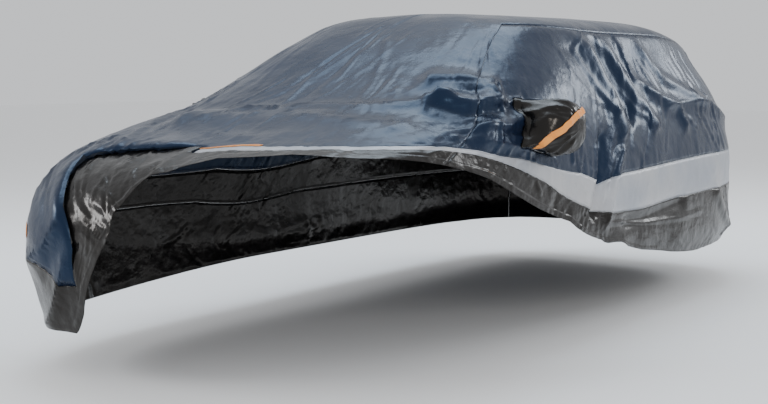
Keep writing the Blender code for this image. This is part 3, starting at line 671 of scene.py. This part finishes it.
def sheet_geometry(name):
    cells = CELLS[name]
    count = len(PLACES)
    corner = np.zeros((count, LAST_ROW + 1), bool)
    for step in (0, 1):
        rolled = np.roll(cells, step, axis=0)
        corner[:, :-1] |= rolled
        corner[:, 1:] |= rolled
    index = np.full(corner.shape, -1)
    index[corner] = np.arange(corner.sum())
    column, row = np.nonzero(corner)

    def has(column, row):
        inside = (row >= 0) & (row < LAST_ROW)
        return inside & cells[column % count, np.clip(row, 0, LAST_ROW - 1)]

    after = has(column, row) | has(column, row - 1)
    before = has(column - 1, row) | has(column - 1, row - 1)
    below = has(column, row) | has(column - 1, row)
    above = has(column, row - 1) | has(column - 1, row - 1)
    place, ring = PLACES[column], RINGS_FINE[column, row]
    border = (after != before) | ((below != above) & (row > 0))
    inset = np.full(len(place), SEAM_INSET)
    if name == "centre_panel":
        inset -= FOLD_REACH * near_fold(place, ring) ** 2
    turn = inset / METRES_ROUND * (after.astype(float) - before)
    drop = inset / METRES_A_RING * (below.astype(float) - above) * (row > 0)
    points = surface_points(name, place + turn, ring + drop, border.astype(float))
    cell_column, cell_row = np.nonzero(cells)
    beside = (cell_column + 1) % count
    faces = np.stack([index[cell_column, cell_row], index[cell_column, cell_row + 1],
                      index[beside, cell_row + 1], index[beside, cell_row]], 1)
    return place, ring, points, faces


# ---------------------------------------------------------------- mesh tools
SAME_POINT = 0.00002      # points closer than this are one


def finish_mesh(name, points, faces, material, thickness, values=None):
    """A mesh object from an open sheet, with its thickness from Solidify."""
    data = bpy.data.meshes.new(name)
    data.from_pydata([tuple(map(float, p)) for p in points], [], [tuple(map(int, f)) for f in faces])
    for key, numbers in (values or {}).items():
        layer = data.attributes.new(key, "FLOAT", "POINT")
        layer.data.foreach_set("value", np.asarray(numbers, np.float32))
    piece = bpy.data.objects.new(name, data)
    bpy.context.scene.collection.objects.link(piece)
    for other in bpy.context.selected_objects:
        other.select_set(False)
    bpy.context.view_layer.objects.active = piece
    piece.select_set(True)
    bpy.ops.object.mode_set(mode="EDIT")
    bpy.ops.mesh.select_all(action="SELECT")
    bpy.ops.mesh.remove_doubles(threshold=SAME_POINT)
    bpy.ops.object.mode_set(mode="OBJECT")
    data.materials.append(material)
    data.shade_smooth()
    solidify = piece.modifiers.new("thickness", "SOLIDIFY")
    solidify.thickness = thickness
    solidify.offset = 0.0
    return piece


def flat_normal_offset(points, faces, offset):
    """Points moved along their mean outward normals."""
    points, faces = np.asarray(points, float), np.asarray(faces)
    a, b, c, d = (points[faces[:, k]] for k in range(4))
    face_normals = np.cross(c - a, d - b)
    normals = np.zeros_like(points)
    for k in range(4):
        np.add.at(normals, faces[:, k], face_normals)
    lengths = np.maximum(np.linalg.norm(normals, axis=1, keepdims=True), 1e-12)
    return points + normals / lengths * offset


# ---------------------------------------------------------------- materials
class Nodes:
    """Small helper to add and link shader nodes of one material."""

    def __init__(self, name):
        self.material = bpy.data.materials.new(name)
        self.material.use_nodes = True
        self.tree = self.material.node_tree
        self.shader = self.tree.nodes["Principled BSDF"]

    def add(self, kind, **settings):
        node = self.tree.nodes.new(kind)
        for key, value in settings.items():
            setattr(node, key, value)
        return node

    def put(self, node, key, value):
        if isinstance(value, bpy.types.NodeSocket):
            self.tree.links.new(value, node.inputs[key])
        else:
            node.inputs[key].default_value = value

    def math(self, operation, first, second=0.0, third=None, clamp=False):
        node = self.add("ShaderNodeMath", operation=operation, use_clamp=clamp)
        self.put(node, 0, first)
        self.put(node, 1, second)
        if third is not None:
            self.put(node, 2, third)
        return node.outputs[0]

    def noise(self, scale, detail=2.0, kind="FBM", roughness=0.5, stretch=None):
        where = self.add("ShaderNodeTexCoord").outputs["Object"]
        if stretch:
            mapping = self.add("ShaderNodeMapping")
            self.put(mapping, "Vector", where)
            self.put(mapping, "Scale", stretch)
            where = mapping.outputs[0]
        node = self.add("ShaderNodeTexNoise", noise_type=kind)
        self.put(node, "Vector", where)
        self.put(node, "Scale", scale)
        self.put(node, "Detail", detail)
        self.put(node, "Roughness", roughness)
        return node.outputs[0]

    def spread(self, value, low, high, to_low, to_high):
        node = self.add("ShaderNodeMapRange", clamp=True)
        for key, number in (("Value", value), ("From Min", low), ("From Max", high),
                            ("To Min", to_low), ("To Max", to_high)):
            self.put(node, key, number)
        return node.outputs[0]

    def mix(self, share, first, second):
        node = self.add("ShaderNodeMix", data_type="RGBA")
        self.put(node, 0, share)
        self.put(node, 6, first)
        self.put(node, 7, second)
        return node.outputs[2]

    def bump(self, height, distance, strength=1.0, below=None):
        node = self.add("ShaderNodeBump")
        self.put(node, "Height", height)
        self.put(node, "Distance", distance)
        self.put(node, "Strength", strength)
        if below is not None:
            self.put(node, "Normal", below)
        return node.outputs[0]

    def attribute(self, name):
        return self.add("ShaderNodeAttribute", attribute_name=name).outputs["Fac"]


STITCH_FROM_SEAM = 0.007
STITCH_HALF_WIDTH = 0.0007
STITCHES_A_METRE = 160.0
STITCH_SHARE = 0.66       # thread to thread and gap
CLOTH_SPECULAR = 0.36
TRIM_STITCHES = (0.13, 0.022)         # from the edge, half width; parts of the strip's width
TRIM_RIBS = 9.0
TURNED_EDGE = 0.012       # cloth turned under beside each seam


def stitch_mask(nodes, edge, along):
    """1 on the thread of a row of stitches beside the seam."""
    beside = nodes.math("COMPARE", edge, STITCH_FROM_SEAM, STITCH_HALF_WIDTH)
    dash = nodes.math("FRACT", nodes.math("MULTIPLY", along, STITCHES_A_METRE))
    return nodes.math("MULTIPLY", beside, nodes.math("LESS_THAN", dash, STITCH_SHARE))


def cloth_material(name, colour, dust, tint, roughness, crinkle, thread):
    """Coated woven cloth with a semi-gloss face, fine crinkles and stitched seams."""
    nodes = Nodes(name)
    shader = nodes.shader
    edge, along = nodes.attribute("edge"), nodes.attribute("along")
    stitches = stitch_mask(nodes, edge, along)
    cloudy = nodes.noise(2.3, 3.0)
    shade = nodes.mix(nodes.spread(cloudy, 0.35, 0.68, 0.0, 1.0), colour, dust)
    worn = nodes.spread(nodes.noise(14.0, 5.0, roughness=0.65), 0.55, 0.78, 0.0, 0.35)
    shade = nodes.mix(worn, shade, dust)
    shade = nodes.mix(stitches, shade, thread)
    nodes.put(shader, "Base Color", shade)
    gloss = nodes.spread(nodes.noise(5.0, 4.0), 0.3, 0.7, roughness - 0.05, roughness + 0.08)
    nodes.put(shader, "Roughness", gloss)
    nodes.put(shader, "Specular Tint", tint)
    nodes.put(shader, "Specular IOR Level", CLOTH_SPECULAR)
    soft = nodes.noise(11.0, 3.0, roughness=0.5)
    sharp = nodes.noise(21.0, 2.0, "RIDGED_MULTIFRACTAL", 0.4)
    normal = nodes.bump(soft, 0.005 * crinkle)
    normal = nodes.bump(sharp, 0.0006 * crinkle, below=normal)
    normal = nodes.bump(nodes.noise(1100.0, 1.0), 0.00006, 0.5, below=normal)
    turned = nodes.math("LESS_THAN", edge, TURNED_EDGE)
    normal = nodes.bump(turned, 0.0008, below=normal)
    normal = nodes.bump(stitches, 0.0006, below=normal)
    nodes.put(shader, "Normal", normal)
    return nodes.material


def band_material():
    """Reflective strip: pale grey, satin, with a fine glass-bead grain."""
    nodes = Nodes("reflective_band")
    shader = nodes.shader
    edge, along = nodes.attribute("edge"), nodes.attribute("along")
    stitches = stitch_mask(nodes, edge, along)
    cloudy = nodes.spread(nodes.noise(3.1, 4.0), 0.35, 0.68, 0.0, 1.0)
    shade = nodes.mix(cloudy, (0.34, 0.36, 0.40, 1.0), (0.46, 0.46, 0.47, 1.0))
    scuffed = nodes.spread(nodes.noise(26.0, 5.0, roughness=0.7), 0.56, 0.75, 0.0, 0.3)
    shade = nodes.mix(scuffed, shade, (0.28, 0.28, 0.30, 1.0))
    shade = nodes.mix(stitches, shade, (0.20, 0.20, 0.22, 1.0))
    nodes.put(shader, "Base Color", shade)
    nodes.put(shader, "Metallic", 0.30)
    nodes.put(shader, "Roughness", nodes.spread(nodes.noise(9.0, 4.0), 0.3, 0.7, 0.34, 0.48))
    normal = nodes.bump(nodes.noise(18.0, 4.0), 0.003)
    normal = nodes.bump(nodes.noise(1400.0, 1.0), 0.00012, 0.5, below=normal)
    normal = nodes.bump(stitches, 0.0006, below=normal)
    nodes.put(shader, "Normal", normal)
    return nodes.material


def trim_material():
    """Orange ribbed webbing, sewn down along both edges."""
    nodes = Nodes("orange_trim")
    shader = nodes.shader
    across, along = nodes.attribute("across"), nodes.attribute("along")
    from_edge = nodes.math("SUBTRACT", 0.5, nodes.math("ABSOLUTE", nodes.math("SUBTRACT", across, 0.5)))
    beside = nodes.math("COMPARE", from_edge, *TRIM_STITCHES)
    dash = nodes.math("FRACT", nodes.math("MULTIPLY", along, STITCHES_A_METRE))
    stitches = nodes.math("MULTIPLY", beside, nodes.math("LESS_THAN", dash, STITCH_SHARE))
    cloudy = nodes.spread(nodes.noise(30.0, 4.0), 0.3, 0.7, 0.0, 1.0)
    shade = nodes.mix(cloudy, (0.86, 0.26, 0.025, 1.0), (0.95, 0.36, 0.05, 1.0))
    soiled = nodes.spread(nodes.noise(12.0, 5.0, roughness=0.7), 0.58, 0.75, 0.0, 0.35)
    shade = nodes.mix(soiled, shade, (0.50, 0.16, 0.04, 1.0))
    shade = nodes.mix(stitches, shade, (0.98, 0.50, 0.16, 1.0))
    nodes.put(shader, "Base Color", shade)
    nodes.put(shader, "Roughness", 0.5)
    nodes.put(shader, "Sheen Weight", 0.15)
    ribs = nodes.math("SINE", nodes.math("MULTIPLY", across, 2.0 * math.pi * TRIM_RIBS))
    normal = nodes.bump(ribs, 0.0004)
    normal = nodes.bump(stitches, 0.0005, below=normal)
    nodes.put(shader, "Normal", normal)
    return nodes.material


NAVY = cloth_material("navy_cloth", (0.0040, 0.0085, 0.024, 1.0), (0.0065, 0.0130, 0.032, 1.0),
                      (0.42, 0.66, 1.0, 1.0), 0.27, 1.0, (0.008, 0.011, 0.020, 1.0))
BLACK = cloth_material("black_cloth", (0.0042, 0.0040, 0.0040, 1.0), (0.0075, 0.0070, 0.0070, 1.0),
                       (0.88, 0.82, 0.76, 1.0), 0.22, 1.3, (0.008, 0.008, 0.008, 1.0))
BAND = band_material()
ORANGE = trim_material()

# ---------------------------------------------------------------- the sheets
# Flat size as cut (width, length), its area where it isn't a rectangle, how it
# is held, and what it lies on or hangs from.
SHEETS = (
    # name                material  slot               flat size      area   held      rests on
    ("centre_panel",      NAVY,  "navy_cloth",      (1.60, 5.20),  6.50, "draped", "under_roof"),
    ("left_side_panel",   NAVY,  "navy_cloth",      (0.90, 3.60),  2.15,  "hung",   "centre_panel"),
    ("right_side_panel",  NAVY,  "navy_cloth",      (0.92, 3.80),  2.25,  "hung",   "centre_panel"),
    ("left_band",         BAND,  "reflective_grey", (0.24, 4.60),  0.56,  "hung",   "left_side_panel"),
    ("right_band",        BAND,  "reflective_grey", (0.24, 3.80),  0.72,  "hung",   "right_side_panel"),
    ("rear_band",         BAND,  "reflective_grey", (0.20, 1.50),  None,  "hung",   "centre_panel"),
    ("front_skirt",       BLACK, "black_cloth",     (0.60, 2.10),  0.68,  "gathered", "centre_panel"),
    ("left_skirt",        BLACK, "black_cloth",     (0.60, 3.90),  0.80,  "gathered", "left_band"),
    ("right_skirt",       BLACK, "black_cloth",     (0.45, 3.60),  1.30,  "gathered", "right_band"),
    ("rear_skirt",        BLACK, "black_cloth",     (0.40, 1.55),  None,  "gathered", "rear_band"),
)


def declare(piece, node):
    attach(piece, "root")
    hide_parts(node)


def build_sheets():
    made = {}
    for name, material, slot, flat, area, held, rests_on in SHEETS:
        place, ring, points, faces = sheet_geometry(name)
        values = {"edge": seam_distance(place, ring), "along": place * METRES_ROUND + ring * METRES_A_RING}
        piece = finish_mesh(name + "_cloth", points, faces, material, CLOTH, values)
        if material == BAND:
            piece.data.materials.append(BLACK)
            piece.modifiers["thickness"].material_offset = 1
        made[name] = (piece, slot, flat, area, held, rests_on)
    return made


# ---------------------------------------------------------------- strips on the panels
STRIP_RISE = 0.0022


def grid_strip(name, below, columns, rows, material):
    """A strip sewn on whole cells of the fine grid."""
    column = np.arange(columns[0], columns[1] + 1)
    row = np.arange(rows[0], rows[1] + 1)
    columns_at, rows_at = np.meshgrid(column, row, indexing="ij")
    place, ring = PLACES[columns_at.ravel()], RINGS_FINE[columns_at.ravel(), rows_at.ravel()]
    points = surface_points(below, place, ring, np.zeros(place.shape))
    wide = len(row)
    faces = [(k * wide + j, k * wide + j + 1, (k + 1) * wide + j + 1, (k + 1) * wide + j)
             for k in range(len(column) - 1) for j in range(wide - 1)]
    points = flat_normal_offset(points, faces, STRIP_RISE)
    across = np.tile(np.linspace(0.0, 1.0, wide), len(column))
    values = {"across": across, "along": place * METRES_ROUND}
    return finish_mesh(name + "_webbing", points, faces, material, TRIM, values)


# ---------------------------------------------------------------- mirror pockets
POCKET_STEPS = 7          # loops here for each loop of the table
POCKET_CREASES = (
    # name            width  height  line as (loop, degrees round the loop)
    ("top fold",      0.012, 0.012, ((0.2, 128), (1.5, 118), (3.0, 100), (4.2, 84))),
    ("upper fold",    0.010, 0.010, ((0.2, 152), (1.6, 150), (3.0, 136), (4.0, 118))),
    ("middle fold",   0.009, 0.008, ((0.1, 174), (1.4, 176), (2.6, 164))),
    ("lower fold",    0.011, 0.009, ((0.3, 238), (1.6, 236), (3.2, 226), (4.2, 210))),
    ("sag",           0.020, 0.010, ((0.8, 262), (2.4, 256), (4.0, 244))),
    ("rear fold",     0.014, 0.009, ((0.3, 20), (1.8, 12), (3.4, 2))),
    ("top rear",      0.012, 0.008, ((0.2, 66), (1.8, 58), (3.2, 44))),
    ("tip, first",    0.008, 0.006, ((3.6, 150), (4.8, 132))),
    ("tip, second",   0.008, 0.006, ((3.6, 40), (4.8, 70))),
)
POCKET_CRUMPLE = 0.010
NORMAL_STEP = 0.12        # loops and radians over which slopes are taken
POCKET_RADIUS = 0.11      # mean reach of a loop, turns degrees into metres
POCKET_DEPTH = 0.045      # mean distance between two loops


def smooth_rows(table, share):
    """Rows of a table on a smooth curve through them."""
    table = np.asarray(table, float)
    last = len(table) - 1
    share = np.clip(np.asarray(share, float), 0.0, last - 1e-9)
    low = np.floor(share).astype(int)
    part = (share - low)[..., None]
    before, here = table[np.clip(low - 1, 0, last)], table[low]
    after, beyond = table[np.clip(low + 1, 0, last)], table[np.clip(low + 2, 0, last)]
    slope_here, slope_after = (after - before) / 2.0, (beyond - here) / 2.0
    square, cube = part ** 2, part ** 3
    return ((2 * cube - 3 * square + 1) * here + (cube - 2 * square + part) * slope_here
            + (3 * square - 2 * cube) * after + (cube - square) * slope_after)


def opening_rim(side):
    """Points of the opening's edge in the side panel, in order."""
    places = PLACES if side > 0 else 1.0 - PLACES
    columns = [k for k in range(len(PLACES))
               if POCKET_PLACES[0] - 1e-6 <= places[k] <= POCKET_PLACES[1] + 1e-6]
    columns.sort(key=lambda k: places[k])
    rows = list(range(OPENING_ROWS[0], OPENING_ROWS[1] + 1))
    loop = ([(k, rows[-1]) for k in columns][:-1] + [(columns[-1], r) for r in reversed(rows)][:-1]
            + [(k, rows[0]) for k in reversed(columns)][:-1] + [(columns[0], r) for r in rows][:-1])
    column, row = (np.array(v) for v in zip(*loop))
    return surface_points("side", PLACES[column], RINGS_FINE[column, row])


class Pocket:
    """Bag for a door mirror, from the opening's rim out to a closed tip."""

    def __init__(self, side):
        self.side = side
        rim = opening_rim(side)
        self.middle = rim.mean(axis=0)
        inward = self.middle - rim
        self.rim = rim + inward / np.linalg.norm(inward, axis=1, keepdims=True) * RIM_INSET
        self.angles = np.arctan2(self.rim[:, 2] - self.middle[2], self.rim[:, 1] - self.middle[1])
        self.order = np.argsort(self.angles)

    def ragged(self, angle):
        turned = (angle + math.pi) % (2.0 * math.pi) - math.pi
        shape = (self.rim - self.middle)[self.order]
        return np.stack([np.interp(turned, self.angles[self.order], shape[:, k],
                                   period=2.0 * math.pi) for k in range(3)], -1)

    def plain(self, loop, angle):
        loop, angle = np.broadcast_arrays(np.asarray(loop, float), np.asarray(angle, float))
        table = np.array([row[1:] for row in POCKET_LOOPS])
        table = np.vstack([table, [POCKET_LOOPS[-1][1] + 0.002, 0.0, 0.0, *POCKET_LOOPS[-1][4:6], 0.0]])
        out, length, height, back, up, share = np.moveaxis(
            smooth_rows(table, np.maximum(loop - 1.0, 0.0)), -1, 0)
        ragged = self.ragged(angle)
        oval = np.stack([np.zeros_like(angle), length * rounded(np.cos(angle), POCKET_POWER),
                         height * rounded(np.sin(angle), POCKET_POWER)], -1)
        shift = np.stack([self.side * out, back, up], -1)
        share = np.clip(share, 0.0, 1.0)[..., None]
        full = self.middle + shift + share * ragged * RIM_TAPER + (1.0 - share) * oval
        at_rim = self.middle + ragged
        near = np.clip(loop, 0.0, 1.0)[..., None]
        return at_rim + (full - at_rim) * near

    def outward(self, loop, angle):
        out = self.plain(loop + NORMAL_STEP, angle) - self.plain(loop - NORMAL_STEP, angle)
        round_it = self.plain(loop, angle + NORMAL_STEP) - self.plain(loop, angle - NORMAL_STEP)
        normal = np.cross(out, round_it) * -self.side
        return normal / np.maximum(np.linalg.norm(normal, axis=-1, keepdims=True), 1e-9)

    def height(self, loop, angle):
        degrees = np.degrees(angle) % 360.0
        total = np.zeros(np.broadcast(loop, angle).shape)
        for _, width, height, line in POCKET_CREASES:
            nearest = np.full(total.shape, np.inf)
            for (loop_a, turn_a), (loop_b, turn_b) in zip(line, line[1:]):
                run_u = math.radians((turn_b - turn_a + 180.0) % 360.0 - 180.0) * POCKET_RADIUS
                run_v = (loop_b - loop_a) * POCKET_DEPTH
                off_u = np.radians((degrees - turn_a + 180.0) % 360.0 - 180.0) * POCKET_RADIUS
                off_v = (loop - loop_a) * POCKET_DEPTH
                share = np.clip((off_u * run_u + off_v * run_v) / (run_u ** 2 + run_v ** 2), 0.0, 1.0)
                nearest = np.minimum(nearest, np.hypot(off_u - share * run_u, off_v - share * run_v))
            trough = 0.4 * np.exp(-(nearest / (2.4 * width)) ** 2)
            total += height * (np.exp(-(nearest / width) ** 2) - trough)
        turned = np.cos(angle) * 0.35 + 3.0, np.sin(angle) * 0.35 + loop * POCKET_DEPTH + self.side
        total += POCKET_CRUMPLE * crumple(*turned)
        return total * smoothstep(loop / 0.8) * smoothstep((5.4 - loop) / 1.2)

    def point(self, loop, angle, rise=0.0):
        height = self.height(loop, angle) + rise
        return self.plain(loop, angle) + self.outward(loop, angle) * np.asarray(height)[..., None]


def pocket_cloth(pocket, name):
    last = len(POCKET_LOOPS) + 1
    loops = np.linspace(0.0, last - 0.02, last * POCKET_STEPS + 1)
    around = len(pocket.angles)
    points = np.concatenate([pocket.point(np.full(around, loop), pocket.angles) for loop in loops])
    faces = []
    for level in range(len(loops) - 1):
        for k in range(around):
            beside = (k + 1) % around
            face = (level * around + k, level * around + beside,
                    (level + 1) * around + beside, (level + 1) * around + k)
            faces.append(face if pocket.side > 0 else face[::-1])
    level = np.repeat(loops, around)
    values = {"edge": level * POCKET_DEPTH, "along": np.tile(pocket.angles * POCKET_RADIUS, len(loops))}
    return finish_mesh(name + "_cloth", points, faces, BLACK, CLOTH, values)


STRIP_ALONG = 60
STRIP_ACROSS = 6
POCKET_STRIP_RISE = 0.0065    # middle of the strip above the pocket's cloth
POCKET_STRIP_BOW = 0.35       # how far its edges lie lower, in widths


def pocket_strip(pocket, name):
    line = np.array(POCKET_STRIP_LINE)
    share = np.linspace(0.0, len(line) - 1.0, STRIP_ALONG + 1)
    smooth = smooth_rows(line, share)
    loops, angles = smooth[:, 0], np.radians(smooth[:, 1])
    middle = pocket.point(loops, angles)
    outward = pocket.outward(loops, angles)
    along = np.gradient(middle, axis=0)
    along /= np.linalg.norm(along, axis=1, keepdims=True)
    across = np.cross(outward, along)
    across /= np.linalg.norm(across, axis=1, keepdims=True)
    travel = np.concatenate([[0.0], np.cumsum(np.linalg.norm(np.diff(middle, axis=0), axis=1))])
    rows, sides = [], np.linspace(-0.5, 0.5, STRIP_ACROSS + 1)
    for offset in sides:
        drop = -POCKET_STRIP_BOW * POCKET_STRIP_WIDTH * offset ** 2
        rise = POCKET_STRIP_RISE + drop
        rows.append(middle + across * POCKET_STRIP_WIDTH * offset + outward * rise)
    points = np.stack(rows, 1).reshape(-1, 3)
    wide = STRIP_ACROSS + 1
    faces = [(k * wide + j, (k + 1) * wide + j, (k + 1) * wide + j + 1, k * wide + j + 1)
             for k in range(STRIP_ALONG) for j in range(STRIP_ACROSS)]
    values = {"across": np.tile(sides + 0.5, STRIP_ALONG + 1), "along": np.repeat(travel, wide)}
    return finish_mesh(name + "_webbing", points, faces, ORANGE, TRIM, values)


# ---------------------------------------------------------------- assembly
HOOD_STRIP = ((0, 3 * FINER), (FIRST_BAND - 3, FIRST_BAND))
CORNER_STRIP = ([int(np.argmin(np.abs(PLACES - place))) for place in (0.919, 0.9305)],
                (FIRST_BAND + 3, FIRST_BAND + 6))
# Size of a mirror pocket's cloth before it is sewn (width, length).
POCKET_FLAT = (0.44, 0.48)


def build_cover():
    made = build_sheets()
    strips = {"hood_strip": grid_strip("hood_strip", "centre_panel", *HOOD_STRIP, ORANGE),
              "corner_strip": grid_strip("corner_strip", "right_band", *CORNER_STRIP, ORANGE)}
    for side, word in ((1, "left"), (-1, "right")):
        pocket = Pocket(side)
        bag = pocket_cloth(pocket, f"{word}_mirror_pocket")
        made[f"{word}_mirror_pocket"] = (bag, "black_cloth", POCKET_FLAT, None, "hung",
                                         f"{word}_side_panel")
        strips[f"{word}_pocket_strip"] = pocket_strip(pocket, f"{word}_pocket_strip")
    for name, piece in strips.items():
        declare(piece, name)
    for name, (piece, slot, flat, area, held, rests_on) in made.items():
        declare(piece, name)


# ---------------------------------------------------------------- stage
def build_stage():
    bpy.ops.mesh.primitive_plane_add(size=60.0, location=(0.0, 0.0, -ROOF_HEIGHT))
    floor = bpy.context.object
    floor.name = "floor"
    paint = Nodes("pale_floor")
    paint.put(paint.shader, "Base Color", (0.95, 0.95, 0.95, 1.0))
    paint.put(paint.shader, "Roughness", 0.75)
    floor.data.materials.append(paint.material)
    world = bpy.data.worlds.new("pale_studio")
    bpy.context.scene.world = world
    world.use_nodes = True
    background = world.node_tree.nodes["Background"]
    background.inputs["Color"].default_value = (0.95, 0.97, 1.0, 1.0)
    background.inputs["Strength"].default_value = 0.85


LIGHTS = (
    # name          size        place                  aimed at            power   colour
    ("overhead",    (6.0, 3.0), (-1.0, 0.5, 4.2),      (0.0, -0.2, -0.3),  220.0,  (0.72, 0.86, 1.0)),
    ("front left",  (1.2, 3.0), (6.5, -5.0, 1.6),      (0.6, -0.6, -0.6),  160.0,  (1.0, 0.97, 0.93)),
    ("far side",    (4.0, 1.6), (-6.0, -6.0, 1.8),     (-0.3, -1.6, -0.6), 260.0,  (0.96, 0.98, 1.0)),
    ("rear",        (4.0, 1.5), (4.0, 6.0, 2.4),       (0.6, 1.0, -0.5),   160.0,  (0.92, 0.96, 1.0)),
)


def aim(placed, at):
    direction = np.array(at) - np.array(placed.location)
    from_z = -direction / np.linalg.norm(direction)
    placed.rotation_euler = (math.acos(from_z[2]), 0.0, math.atan2(from_z[1], from_z[0]) + math.pi / 2)


def build_lights():
    for name, size, place, at, power, colour in LIGHTS:
        data = bpy.data.lights.new(name, "AREA")
        data.shape = "RECTANGLE"
        data.size, data.size_y = size
        data.energy = power
        data.color = colour
        lamp = bpy.data.objects.new(name, data)
        lamp.location = place
        bpy.context.scene.collection.objects.link(lamp)
        aim(lamp, at)


CAMERA_PLACE = (3.57, -6.405, -0.260)
CAMERA_TURN = -0.6026     # from +Y towards +X, radians
CAMERA_DIP = -0.1025
LENS = 61.9


def build_camera():
    data = bpy.data.cameras.new("camera")
    data.lens = LENS
    data.sensor_width = 36.0
    camera = bpy.data.objects.new("camera", data)
    camera.location = CAMERA_PLACE
    camera.rotation_euler = (math.pi / 2 + CAMERA_DIP, 0.0, -CAMERA_TURN)
    bpy.context.scene.collection.objects.link(camera)
    bpy.context.scene.camera = camera


build_cover()
build_stage()
build_lights()
build_camera()
